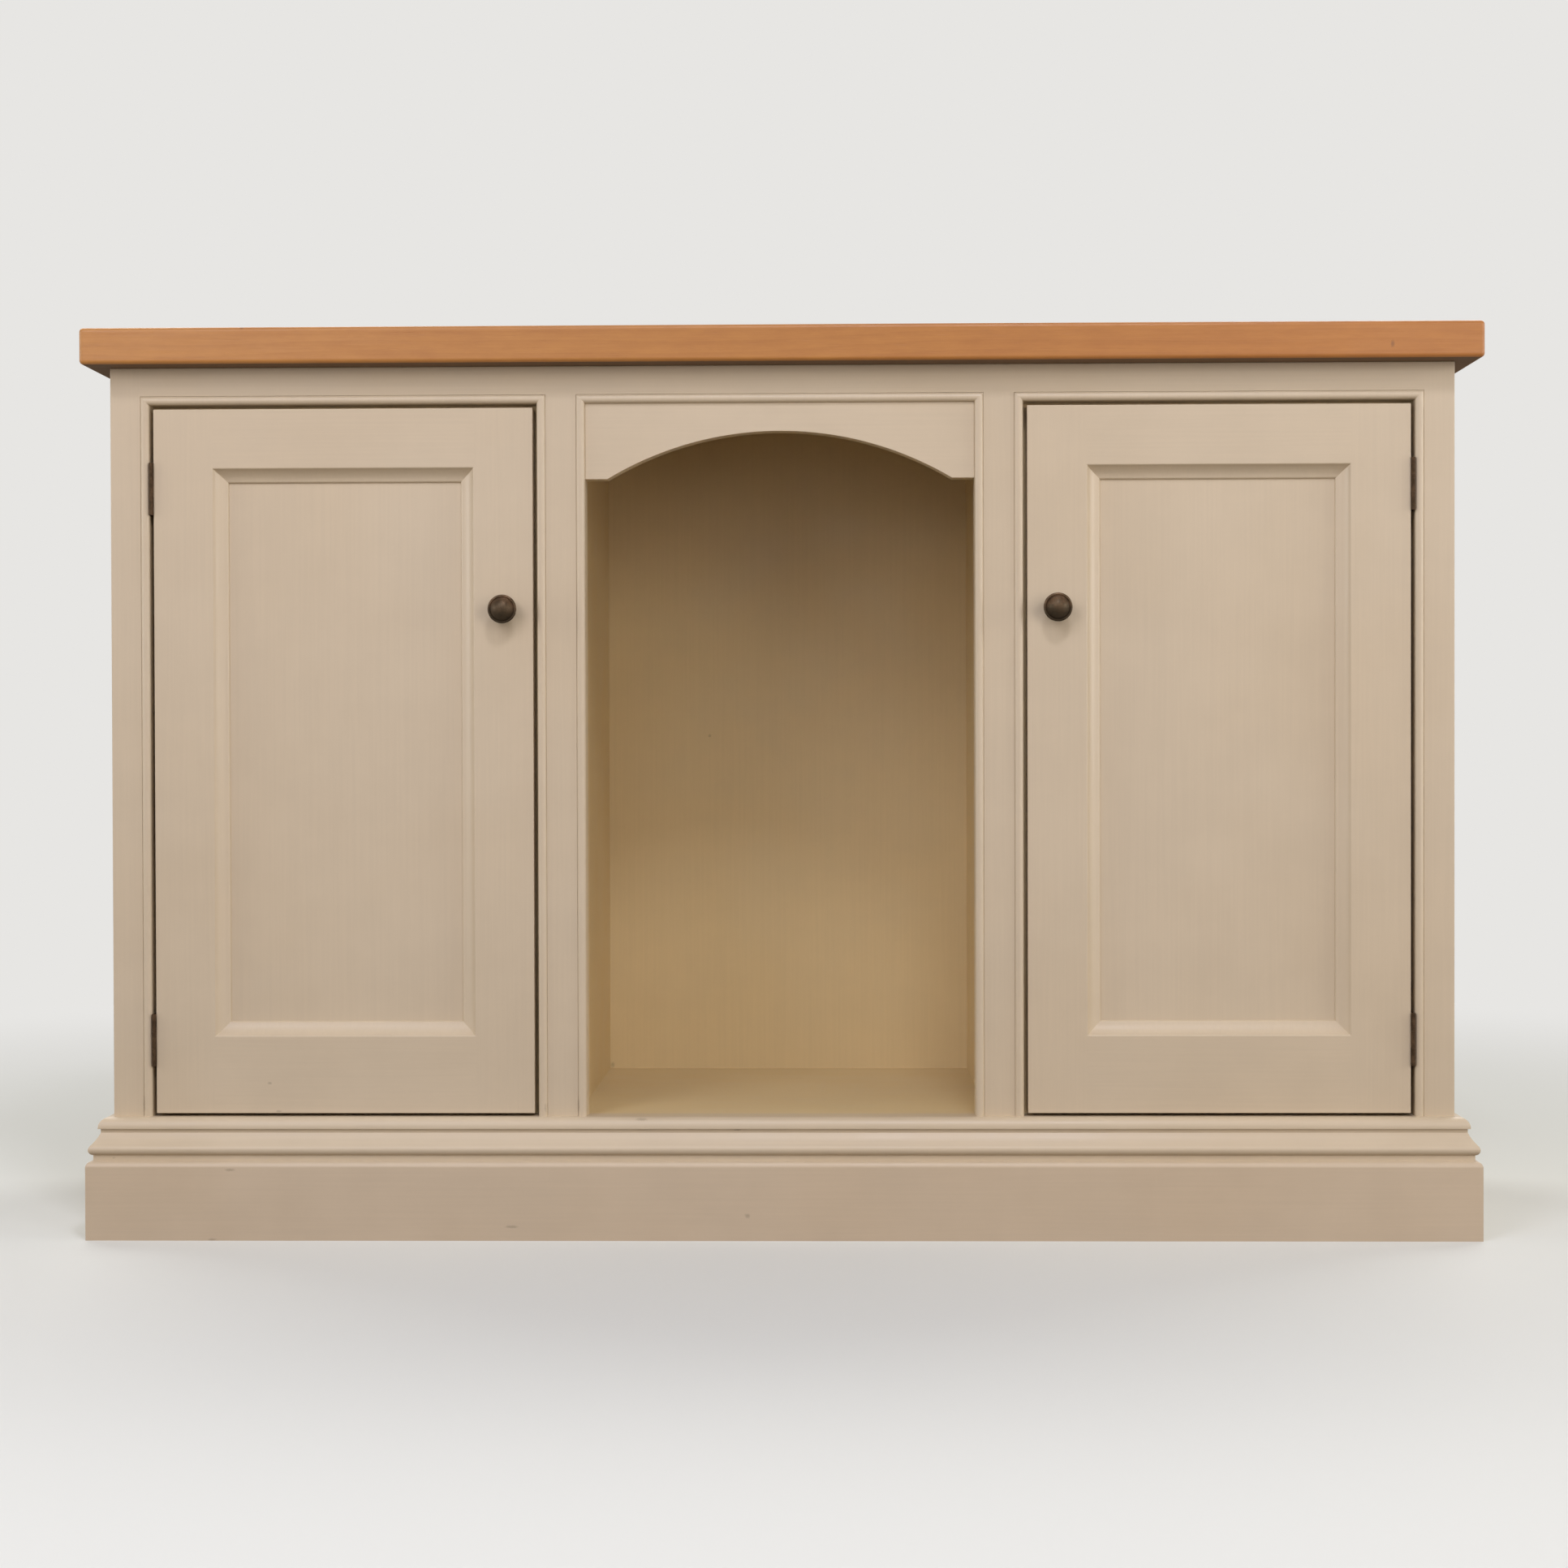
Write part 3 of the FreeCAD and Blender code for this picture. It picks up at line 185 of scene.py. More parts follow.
# Sawn softwood: rings to a metre across the board and up it, and how far they sway
PINE_RINGS_Y = 60.0
PINE_RINGS_Z = 95.0
PINE_SWAY = 5.0
PINE_SWAY_WAVES = 2.0
PINE_FIBRE_WAVES = (40.0, 500.0, 500.0)
PINE_BAND_SHARE = 0.55
PINE_FIBRE_SHARE = 0.45
SAWN = (0.6, 0.75)
SAWN_DEPTH = 0.08 * MM

# Metal and plastic: fine grain as a multiple of the coarse, and the share of each in the tone
FINE_TIMES = 9.0
COARSE_SHARE = 0.7
FINE_SHARE = 0.3
PATINA_SPAN = (0.40, 0.60)
GRAIN_DEPTH = 0.03 * MM
PLASTIC_FINE_WAVES = 1800.0
PLASTIC_CLOUD_WAVES = 60.0
SATIN = (0.4, 0.55)

# On the knobs: painted shade and more roughness below their middle, going to a painted highlight above it
SHADE_BELOW = 8 * MM
HIGHLIGHT_ABOVE = 13 * MM
KNOB_SHADE_TO_HIGHLIGHT = (0.18, 1.45)
DULL_ROUGHER = 0.25

# Spots: how ragged they are, and where their edge starts and ends as a share of their radius
SPOT_WAVES = 420.0
SPOT_RAGGED = 0.7
SPOT_EDGE = (1.35, 0.55)

# Knots in the top: places and radii in millimetres
KNOT_STRENGTH = 0.5
KNOTS = (
    ((-527, -224, 899), (3.2, 6, 2.2)),
    ((598, -225, 877), (2.6, 4, 5)),
    ((210, -60, 900), (9, 6, 6)),
    ((-320, 95, 900), (7, 5, 6)),
    ((470, 150, 900), (6, 4, 6)),
)

# Scuffs and specks in the paint: places and radii in millimetres
MARK_STRENGTH = 0.32
PLINTH_MARKS = (
    ((-266, -218, 14), (9, 6, 2)),
    ((-33, -218, 25), (3.5, 6, 3.5)),
    ((-544, -217, 70), (7, 8, 2)),
    ((-562, -218, 1), (6, 5, 2)),
)
MOULDING_MARKS = (
    ((-138, -204, 118), (8, 6, 2)),
    ((-43, -207, 108), (5, 6, 1.6)),
    ((-661, -214, 81), (2.5, 5, 1.6)),
)
FRAME_MARKS = (
    ((-201, -195, 130), (2, 5, 12)),
    ((-234, -195, 128), (2, 5, 8)),
    ((-634, -195, 132), (2.2, 5, 14)),
)
DOOR_MARKS = (
    ((-509, -195, 153), (3, 3, 2)),
    ((-500, -195, 125), (4, 3, 1.5)),
)
ALCOVE_MARKS = (
    ((-89, 217, 500), (2.5, 3, 2.5)),
    ((-201, 217, 124), (3, 3, 5)),
)

# How far the painted arrises are rounded, in how many steps, and from which angle on
DOOR_ARRIS = 0.6 * MM
FRAME_ARRIS = 1.0 * MM
APRON_ARRIS = 0.4 * MM
ARRIS_STEPS = 3
ARRIS_ANGLE = math.radians(40)

# An edge that lies on more sides of a box than this is one of its outer arrises
ONE_SIDE = 1.5

# How close is the same place, how flat is one face, and which edges stay sharp on round pieces
SAME_CORNER = 0.001 * MM
SAME_POINT = 0.005 * MM
SAME_SIDE = 0.02 * MM
FLAT_ANGLE = math.radians(0.5)
SHARP_ANGLE = math.radians(35)

# The knob's section in millimetres: its foot's corners, then arcs as radius, height, size and angles
KNOB_FOOT = ((0.5, 0.0), (8.2, 0.0), (8.5, 0.3), (8.5, 1.7))
KNOB_NECK = (9.67, 6.0, 4.17, 197, 180)
KNOB_FLARE = (11.2, 8.5, 5.7, 180, 101)
KNOB_NECK_STEPS = 5
KNOB_FLARE_STEPS = 10
KNOB_RIM = 1.7
KNOB_RIM_STEPS = 14
KNOB_CAP = 18.0
KNOB_GROOVE_IN = 2.7
KNOB_GROOVE_DEPTH = 0.6
KNOB_GROOVE_LIP = (0.7, 0.3)
KNOB_GROOVE_FLOOR = (0.2, 0.1)
KNOB_DOME_TRIM = 2.0
KNOB_DOME_END = 89.5
KNOB_DOME_STEPS = 18
KNOB_STEPS = 96

# Screw heads: diameters in the hinge leaves and of the plain round ones, and shares of the diameter
LEAF_HEAD = 5.0 * MM
ROUND_HEAD = 8.0 * MM
SHANK_SHARE = 0.26
SLOT_SHARE = 0.16
ROUND_RIM_SHARE = 0.28
ROUND_GROOVE_SHARE = 0.10
SUNK_RIM = 0.3 * MM
SUNK_GROOVE = 0.25 * MM
SUNK_NECK_SHARE = 0.98
CONE_SHARE = 0.8
HEAD_SEAT = 0.04 * MM
TIP_RADIUS = 0.05 * MM
HALF_POINT = 2 * MM
POINT = 4 * MM
HEAD_ARC_STEPS = 14
SHANK_STEPS = 20


class Recipe:
    """A material's node tree, built a step at a time around one surface shader."""

    def __init__(self, name):
        self.material = bpy.data.materials.new(name)
        self.material.use_nodes = True
        self.tree = self.material.node_tree
        self.surface = self.tree.nodes["Principled BSDF"]
        self.place = self.step("ShaderNodeTexCoord").outputs["Object"]

    def step(self, kind, inputs=None, **settings):
        """Adds a node. An input is a value or another node's output."""
        node = self.tree.nodes.new(kind)
        for name, value in settings.items():
            setattr(node, name, value)
        for key, value in (inputs or {}).items():
            self.feed(node.inputs[key], value)
        return node

    def feed(self, socket, value):
        """Sets a socket to a value, or links it to an output."""
        if isinstance(value, bpy.types.NodeSocket):
            self.tree.links.new(value, socket)
        else:
            socket.default_value = value

    def set(self, **values):
        """Sets or links sockets of the surface shader, underscores for spaces."""
        for name, value in values.items():
            self.feed(self.surface.inputs[name.replace("_", " ")], value)

    def axes(self):
        """The x, y and z of the place in the object."""
        return self.step("ShaderNodeSeparateXYZ", {0: self.place}).outputs

    def stretched(self, scale, place=None):
        """A place, scaled by axis."""
        step = self.step("ShaderNodeVectorMath", {0: place or self.place, 1: scale}, operation="MULTIPLY")
        return step.outputs[0]

    def noise(self, scale, detail=3.0, roughness=0.55, place=None, distortion=0.0):
        """Noise from 0 to 1. Scale is a number, or one number for each axis."""
        if not isinstance(scale, (int, float)):
            place = self.stretched(scale, place)
            scale = 1.0
        inputs = {
            "Vector": place or self.place,
            "Scale": scale,
            "Detail": detail,
            "Roughness": roughness,
            "Distortion": distortion,
        }
        return self.step("ShaderNodeTexNoise", inputs).outputs["Fac"]

    def math(self, operation, first, second=0.0, clamp=False):
        """One sum on two numbers."""
        step = self.step("ShaderNodeMath", {0: first, 1: second}, operation=operation, use_clamp=clamp)
        return step.outputs[0]

    def weighed(self, *parts):
        """Values added up, each times its share."""
        products = [self.math("MULTIPLY", value, share) for value, share in parts]
        total = products[0]
        for product in products[1:]:
            total = self.math("ADD", total, product)
        return total

    def spread(self, value, low, high, out_low=0.0, out_high=1.0):
        """A value mapped from one range to another, smoothly and within it."""
        inputs = {
            "Value": value,
            "From Min": low,
            "From Max": high,
            "To Min": out_low,
            "To Max": out_high,
        }
        step = self.step("ShaderNodeMapRange", inputs, interpolation_type="SMOOTHSTEP")
        return step.outputs["Result"]

    def mix(self, share, first, second, blend="MIX"):
        """Two colours mixed by a share."""
        step = self.step("ShaderNodeMix", data_type="RGBA", blend_type=blend)
        for index, value in ((0, share), (6, first), (7, second)):
            if isinstance(value, tuple):
                value = (*value, 1.0)
            self.feed(step.inputs[index], value)
        return step.outputs[2]

    def times(self, tone, factor):
        """A colour times a number or another colour."""
        return self.mix(1.0, tone, factor, "MULTIPLY")

    def bump(self, height, depth, below=None):
        """A bump of that many metres from heights of 0 to 1."""
        inputs = {"Height": height, "Distance": depth, "Strength": 1.0}
        if below is not None:
            inputs["Normal"] = below
        return self.step("ShaderNodeBump", inputs).outputs["Normal"]

    def spot(self, place, size, strength):
        """A soft ragged spot, strongest at a place in millimetres, with a radius for each axis."""
        ragged = self.noise(SPOT_WAVES, detail=3.0)
        centre = Vector(place) * MM
        away = self.step("ShaderNodeVectorMath", {0: self.place, 1: centre}, operation="SUBTRACT")
        sized = self.stretched([1 / (length * MM) for length in size], away.outputs[0])
        far = self.step("ShaderNodeVectorMath", {0: sized}, operation="LENGTH").outputs["Value"]
        far = self.math("ADD", far, self.math("MULTIPLY", ragged, SPOT_RAGGED))
        return self.spread(far, *SPOT_EDGE, 0.0, strength)


def painted(name, along, tones=CREAM, marks=(), bare_from=None):
    """Eggshell paint brushed along one axis, with scuffs. Behind bare_from, in y, it is bare plywood."""
    paint = Recipe(name)
    brush_waves = tuple(BRUSH_WAVES_ALONG if axis == along else BRUSH_WAVES for axis in "xyz")
    brush = paint.noise(brush_waves, detail=4.0, roughness=0.6)
    cloud = paint.noise(CLOUD_WAVES, detail=4.0)
    patch = paint.noise(PATCH_WAVES, detail=5.0, roughness=0.6)
    stipple = paint.noise(STIPPLE_WAVES, detail=2.0)
    tone = paint.mix(paint.spread(cloud, *CLOUD_SPAN, *AGED_SHARE), *tones)
    streak = paint.spread(brush, *NOISE_SPAN, *STREAK)
    blotch = paint.spread(patch, *NOISE_SPAN, *BLOTCH)
    tone = paint.times(tone, paint.math("MULTIPLY", streak, blotch))
    for place, size in marks:
        tone = paint.mix(paint.spot(place, size, MARK_STRENGTH), tone, GRIME)
    rough = paint.spread(patch, *NOISE_SPAN, *EGGSHELL)
    if bare_from is not None:
        behind = paint.math("GREATER_THAN", paint.axes()[1], bare_from)
        fibre = paint.noise(PLY_FIBRE_WAVES, detail=5.0, roughness=0.7)
        figure = paint.noise(PLY_FIGURE_WAVES, detail=3.0, distortion=PLY_TWIST)
        share = paint.weighed((fibre, PLY_FIBRE_SHARE), (figure, 1 - PLY_FIBRE_SHARE))
        tone = paint.mix(behind, tone, paint.mix(paint.spread(share, *NOISE_SPAN), *PLY))
        rough = paint.math("ADD", rough, paint.math("MULTIPLY", behind, PLY_ROUGHER))
    paint.set(
        Base_Color=tone,
        Roughness=rough,
        Normal=paint.bump(stipple, STIPPLE_DEPTH, paint.bump(brush, BRUSH_DEPTH)),
    )
    return paint.material


def top_timber():
    """Waxed orange-brown timber: boards joined edge to edge, with the grain along x and small knots. A
    painted sheen pales it towards the left, and painted shade darkens its underside.
    """
    wood = Recipe("top_timber")
    x, y, z = wood.axes()
    under_face, upper_face = (corner.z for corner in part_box("top_board"))
    board = wood.math("FLOOR", wood.math("DIVIDE", wood.math("ADD", y, TOP_BOARD / 2), TOP_BOARD))
    shift = wood.step("ShaderNodeTexWhiteNoise", {"W": board}, noise_dimensions="1D").outputs["Value"]
    offset = wood.math("MULTIPLY", shift, BOARD_SHIFT)
    moved = wood.step(
        "ShaderNodeCombineXYZ",
        {0: wood.math("ADD", x, offset), 1: wood.math("ADD", y, offset), 2: z},
    ).outputs[0]
    sway = wood.noise(SWAY_WAVES, detail=2.0, place=moved)
    pith = wood.math("SUBTRACT", wood.math("PINGPONG", y, TOP_BOARD), TOP_BOARD / 2)
    depth = wood.math("ADD", wood.math("SUBTRACT", z, RING_LINE), wood.math("MULTIPLY", sway, RING_SWAY))
    squares = wood.math("ADD", wood.math("POWER", depth, 2.0), wood.math("POWER", pith, 2.0))
    ring = wood.math("FRACT", wood.math("MULTIPLY", wood.math("SQRT", squares), RINGS_TO_METRE))
    late = wood.math("MULTIPLY", wood.spread(ring, *LATE_RISE), wood.spread(ring, *LATE_FALL))
    fibre = wood.noise(FIBRE_WAVES, detail=5.0, roughness=0.65, place=moved)
    pores = wood.spread(wood.noise(PORE_WAVES, detail=2.0, place=moved), *PORE_SPAN)
    cloud = wood.noise(TOP_CLOUD_WAVES, detail=3.0, place=moved)
    mottle = wood.noise(MOTTLE_WAVES, detail=4.0, roughness=0.65, place=moved)
    share = wood.weighed(
        (
            wood.weighed((wood.spread(fibre, *FIBRE_SPAN), FIBRE_SHARE), (late, LATE_SHARE)),
            wood.spread(z, upper_face - FIGURE_SKIN, upper_face, *FIGURE_STRENGTH),
        ),
        (wood.spread(mottle, *NOISE_SPAN), MOTTLE_SHARE),
        (wood.spread(cloud, *NOISE_SPAN), TOP_CLOUD_SHARE),
    )
    tone = wood.mix(share, TOP_PALE, TOP_DEEP)
    tone = wood.mix(wood.math("MULTIPLY", pores, PORE_SHARE), tone, TOP_DEEP)
    tone = wood.times(tone, wood.spread(shift, 0.0, 1.0, *BOARD_TONES))
    # Painted sheen: the top pales towards the left and deepens towards the right
    tone = wood.times(tone, wood.mix(wood.spread(x, *SHEEN_STRETCH), TOP_SHEEN_LEFT, TOP_SHEEN_RIGHT))
    for place, size in KNOTS:
        tone = wood.mix(wood.spot(place, size, KNOT_STRENGTH), tone, TOP_KNOT)
    # The underside is darkened as painted shade, and made duller
    under = wood.math("LESS_THAN", z, under_face + UNDER_SKIN)
    dull = wood.math("MULTIPLY", under, UNDER_ROUGHER)
    wood.set(
        Base_Color=wood.mix(under, tone, TOP_UNDER_SHADE),
        Roughness=wood.math("ADD", wood.spread(fibre, *NOISE_SPAN, *WAX), dull),
        Normal=wood.bump(pores, PORE_DEPTH, wood.bump(fibre, FIBRE_DEPTH)),
    )
    return wood.material


def bare_timber():
    """Plain sawn softwood, for the pieces that stay out of sight."""
    wood = Recipe("bare_timber")
    _, y, z = wood.axes()
    sway = wood.noise(PINE_SWAY_WAVES, detail=2.0)
    fibre = wood.noise(PINE_FIBRE_WAVES, detail=4.0)
    band = wood.math("FRACT", wood.weighed((y, PINE_RINGS_Y), (z, PINE_RINGS_Z), (sway, PINE_SWAY)))
    share = wood.weighed((band, PINE_BAND_SHARE), (fibre, PINE_FIBRE_SHARE))
    wood.set(
        Base_Color=wood.mix(share, *PINE),
        Roughness=wood.spread(fibre, *NOISE_SPAN, *SAWN),
        Normal=wood.bump(fibre, SAWN_DEPTH),
    )
    return wood.material


def metal(name, tones, metallic, gloss, rough, grain, sheen, shade_band=None):
    """A patinated metal whose tone and polish wander. Between two heights it goes from painted shade and
    dull below to a painted highlight above.
    """
    shine = Recipe(name)
    cloud = shine.noise(grain, detail=5.0, roughness=0.6)
    fine = shine.noise(grain * FINE_TIMES, detail=3.0)
    share = shine.weighed((cloud, COARSE_SHARE), (fine, FINE_SHARE))
    tone = shine.mix(shine.spread(share, *PATINA_SPAN), *tones)
    polish = shine.spread(cloud, *NOISE_SPAN, *rough)
    if shade_band is not None:
        height = shine.axes()[2]
        # Painted shade darkens the lower knob, and a painted highlight lightens its top
        tone = shine.times(tone, shine.spread(height, *shade_band, *KNOB_SHADE_TO_HIGHLIGHT))
        polish = shine.math("ADD", polish, shine.spread(height, *shade_band, DULL_ROUGHER, 0.0))
    shine.set(
        Base_Color=tone,
        Metallic=metallic,
        Specular_IOR_Level=gloss,
        Specular_Tint=sheen,
        Roughness=polish,
        Normal=shine.bump(fine, GRAIN_DEPTH),
    )
    return shine.material


def knob_shade_band():
    """The heights between which the knobs go from painted shade and dull below to a painted highlight
    above.
    """
    middle = sum(corner.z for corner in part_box("left_door_knob")) / 2
    return middle - SHADE_BELOW, middle + HIGHLIGHT_ABOVE


def catch_plastic():
    """Brown moulded plastic with a fine texture."""
    plastic = Recipe("catch_plastic")
    fine = plastic.noise(PLASTIC_FINE_WAVES, detail=2.0)
    cloud = plastic.noise(PLASTIC_CLOUD_WAVES, detail=3.0)
    plastic.set(
        Base_Color=plastic.mix(cloud, *PLASTIC),
        Roughness=plastic.spread(fine, *NOISE_SPAN, *SATIN),
        Normal=plastic.bump(fine, GRAIN_DEPTH),
    )
    return plastic.material


FINISHES = {
    "paint_x": painted("paint_along_x", "x", marks=DOOR_MARKS),
    "paint_y": painted("paint_along_y", "y"),
    "paint_z": painted("paint_along_z", "z", marks=FRAME_MARKS),
    # The plinth uses the shaded copy of the cream, as painted shade
    "plinth": painted("plinth_shaded_paint", "x", PLINTH_CREAM_SHADED, PLINTH_MARKS),
    "moulding": painted("moulding_paint", "x", marks=MOULDING_MARKS),
    # The inside's paints use the lit copy of the cream, as painted bounced light
    "inner_x": painted("inner_bounce_lit_paint_along_x", "x", INNER_CREAM_BOUNCE_LIT),
    "inner_z": painted("inner_bounce_lit_paint_along_z", "z", INNER_CREAM_BOUNCE_LIT),
    "back": painted("back_bounce_lit_paint", "z", INNER_CREAM_BOUNCE_LIT, ALCOVE_MARKS, BACK_BARE_FROM),
    "top": top_timber(),
    "bare": bare_timber(),
    "bronze": metal(
        "bronze",
        BRONZE,
        metallic=0.1,
        gloss=0.55,
        rough=(0.30, 0.40),
        grain=90.0,
        sheen=BROWN_SHEEN,
        shade_band=knob_shade_band(),
    ),
    "hinge": metal(
        "hinge_metal",
        HINGE,
        metallic=0.1,
        gloss=0.2,
        rough=(0.45, 0.60),
        grain=120.0,
        sheen=BROWN_SHEEN,
    ),
    "steel": metal(
        "steel",
        STEEL,
        metallic=1.0,
        gloss=0.5,
        rough=(0.25, 0.40),
        grain=200.0,
        sheen=WHITE_SHEEN,
    ),
    "plastic": catch_plastic(),
}

# The finish of each material slot that isn't paint
SLOT_FINISHES = {
    "top_timber": "top",
    "bare_timber": "bare",
    "bronze": "bronze",
    "hinge_metal": "hinge",
    "steel": "steel",
    "catch_plastic": "plastic",
}

# The paint of a node is the first of these whose word is in its name, and brushed upright if none is
PAINT_WORDS = (
    ("plinth_moulding_front", "moulding"),
    ("plinth_front", "plinth"),
    ("plinth", "paint_y"),
    ("back_panel", "back"),
    ("partition", "inner_z"),
    ("base_panel", "inner_x"),
    ("shelf", "inner_x"),
    ("stops", "inner_x"),
    ("rail", "paint_x"),
    ("apron", "paint_x"),
)


def finish_of(name, slot):
    """The finish of a node: its slot's, or a paint by its name."""
    if slot in SLOT_FINISHES:
        return SLOT_FINISHES[slot]
    return next((finish for word, finish in PAINT_WORDS if word in name), "paint_z")


def node_slots():
    """The material slot of each node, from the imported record."""
    return {part["node"]: part["material_slot"] for part in frame["record"]["subparts"]}


def dress(thing, finish):
    """Gives an object one finish."""
    thing.data.materials.clear()
    thing.data.materials.append(FINISHES[finish])


def outer_arrises():
    """A node group that marks for bevelling the edges that lie on two sides of a given box."""
    group = bpy.data.node_groups.new("outer_arrises", "GeometryNodeTree")
    add_socket = group.interface.new_socket
    add_socket("Geometry", in_out="INPUT", socket_type="NodeSocketGeometry")
    add_socket("Low", in_out="INPUT", socket_type="NodeSocketVector")
    add_socket("High", in_out="INPUT", socket_type="NodeSocketVector")
    add_socket("Geometry", in_out="OUTPUT", socket_type="NodeSocketGeometry")
    make = group.nodes.new
    link = group.links.new

    def reckon(operation, first, second=None):
        sum_node = make("ShaderNodeMath")
        sum_node.operation = operation
        link(first, sum_node.inputs[0])
        if second is not None:
            link(second, sum_node.inputs[1])
        return sum_node

    given = make("NodeGroupInput")
    middle = make("ShaderNodeSeparateXYZ")
    link(make("GeometryNodeInputPosition").outputs[0], middle.inputs[0])
    total = None
    for corner in ("Low", "High"):
        sides = make("ShaderNodeSeparateXYZ")
        link(given.outputs[corner], sides.inputs[0])
        for axis in range(3):
            near = reckon("COMPARE", middle.outputs[axis], sides.outputs[axis])
            near.inputs[2].default_value = SAME_SIDE
            found = near.outputs[0]
            total = found if total is None else reckon("ADD", total, found).outputs[0]
    on_two_sides = reckon("GREATER_THAN", total)
    on_two_sides.inputs[1].default_value = ONE_SIDE
    store = make("GeometryNodeStoreNamedAttribute")
    store.data_type = "FLOAT"
    store.domain = "EDGE"
    store.inputs["Name"].default_value = "bevel_weight_edge"
    link(given.outputs["Geometry"], store.inputs["Geometry"])
    link(on_two_sides.outputs[0], store.inputs["Value"])
    link(store.outputs["Geometry"], make("NodeGroupOutput").inputs["Geometry"])
    return group


OUTER_ARRISES = outer_arrises()


def joined_faces(thing):
    """Joins the mesh's loose triangles back into whole faces."""
    weld = thing.modifiers.new("weld", "WELD")
    weld.merge_threshold = SAME_POINT
    flat = thing.modifiers.new("flat faces", "DECIMATE")
    flat.decimate_type = "DISSOLVE"
    flat.angle_limit = FLAT_ANGLE


def rounded(thing, width, box=None):
    """Rounds a node's arrises: all of them, or those on the edges of a box."""
    joined_faces(thing)
    if box:
        marks = thing.modifiers.new("outer arrises", "NODES")
        marks.node_group = OUTER_ARRISES
        for item in OUTER_ARRISES.interface.items_tree:
            if item.in_out == "INPUT" and item.name in ("Low", "High"):
                marks[item.identifier] = box[item.name == "High"]
    bevel = thing.modifiers.new("arrises", "BEVEL")
    bevel.width = width
    bevel.segments = ARRIS_STEPS
    bevel.limit_method = "WEIGHT" if box else "ANGLE"
    bevel.angle_limit = ARRIS_ANGLE
    bevel.harden_normals = True


def box_of(places):
    """The lowest and highest corners of a box round several places."""
    low = Vector([min(place[axis] for place in places) for axis in range(3)])
    high = Vector([max(place[axis] for place in places) for axis in range(3)])
    return low, high


def box_round(names):
    """The box round several nodes."""
    return box_of([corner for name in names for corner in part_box(name)])


def finish_nodes():
    """Gives every node its finish, and softens the free arrises of the doors, the front boards, the
    shelves, the catches and the apron.
    """
    slots = node_slots()
    for name, thing in nodes.items():
        dress(thing, finish_of(name, slots.get(name, "paint")))
    for side in SIDES:
        door = [f"{side}_door_{part}" for part in DOOR_FRAME]
        box = box_round(door)
        for name in door:
            rounded(nodes[name], DOOR_ARRIS, box)
    front = [f"{board}_{side}" for board in ("frame_stile", "side_panel") for side in SIDES]
    front.append("frame_top_rail")
    box = box_round(front)
    for name in front:
        rounded(nodes[name], FRAME_ARRIS, box)
    for name in ("left_shelf", "right_shelf", "door_catches"):
        rounded(nodes[name], FRAME_ARRIS)
    rounded(nodes["alcove_apron"], APRON_ARRIS)


def mesh_piece(name, body, finish, shape):
    """A new piece from a bmesh, smooth where it is round."""
    mesh = bpy.data.meshes.new(name)
    bmesh.ops.recalc_face_normals(shape, faces=shape.faces)
    shape.to_mesh(mesh)
    shape.free()
    piece = bpy.data.objects.new(name, mesh)
    bpy.context.scene.collection.objects.link(piece)
    mesh.shade_smooth()
    mesh.set_sharp_from_angle(angle=SHARP_ANGLE)
    dress(piece, finish)
    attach(piece, body)
    return piece


def turned(shape, profile, turn, steps):
    """Adds to a bmesh a closed form turned about z from (radius, height) corners, then placed by turn."""
    rings = []
    for radius, height in profile:
        ring = []
        for step in range(steps):
            angle = 2 * math.pi * step / steps
            place = Vector((radius * math.cos(angle), radius * math.sin(angle), height))
            ring.append(shape.verts.new(turn @ place))
        rings.append(ring)
    for ring, following in zip(rings, rings[1:]):
        for step in range(steps):
            after = (step + 1) % steps
            shape.faces.new((ring[step], ring[after], following[after], following[step]))
    shape.faces.new(rings[0])
    shape.faces.new(rings[-1])


def bend(radius, height, size, start, end, steps):
    """Corners along an arc about a centre, between two angles from the outward direction."""
    corners = []
    for step in range(steps + 1):
        angle = math.radians(start + (end - start) * step / steps)
        corners.append((radius + size * math.cos(angle), height + size * math.sin(angle)))
    return corners


def knob_section(reach, length):
    """The knob's section, in millimetres: foot, waisted neck, flared cap, rolled rim, groove and dome."""
    groove = reach - KNOB_GROOVE_IN
    groove_foot = KNOB_CAP - KNOB_GROOVE_DEPTH
    lip_out, lip_down = KNOB_GROOVE_LIP
    floor_out, floor_up = KNOB_GROOVE_FLOOR
    dome_height = length - groove_foot
    dome = (groove ** 2 + dome_height ** 2) / (2 * dome_height)
    dome_start = math.degrees(math.asin((dome - dome_height) / dome)) + KNOB_DOME_TRIM
    section = list(KNOB_FOOT)
    section += bend(*KNOB_NECK, KNOB_NECK_STEPS)
    section += bend(*KNOB_FLARE, KNOB_FLARE_STEPS)
    section += bend(reach - KNOB_RIM, KNOB_CAP - KNOB_RIM, KNOB_RIM, -90, 90, KNOB_RIM_STEPS)[1:]
    section.append((groove + lip_out, KNOB_CAP - lip_down))
    section.append((groove + floor_out, groove_foot + floor_up))
    section += bend(0.0, length - dome, dome, dome_start, KNOB_DOME_END, KNOB_DOME_STEPS)
    return section


def make_knobs():
    """The turned bronze knobs, each on its own door."""
    for side in SIDES:
        node = f"{side}_door_knob"
        low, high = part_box(node)
        middle = (low + high) / 2
        section = knob_section((high.x - low.x) / 2 / MM, (high.y - low.y) / MM)
        turn = Matrix.Translation((middle.x, high.y, middle.z)) @ Matrix.Rotation(math.pi / 2, 4, "X")
        shape = bmesh.new()
        turned(shape, section, turn @ Matrix.Scale(MM, 4), KNOB_STEPS)
        piece = mesh_piece(f"{side}_knob", f"{side}_door", "bronze", shape)
        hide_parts(node)


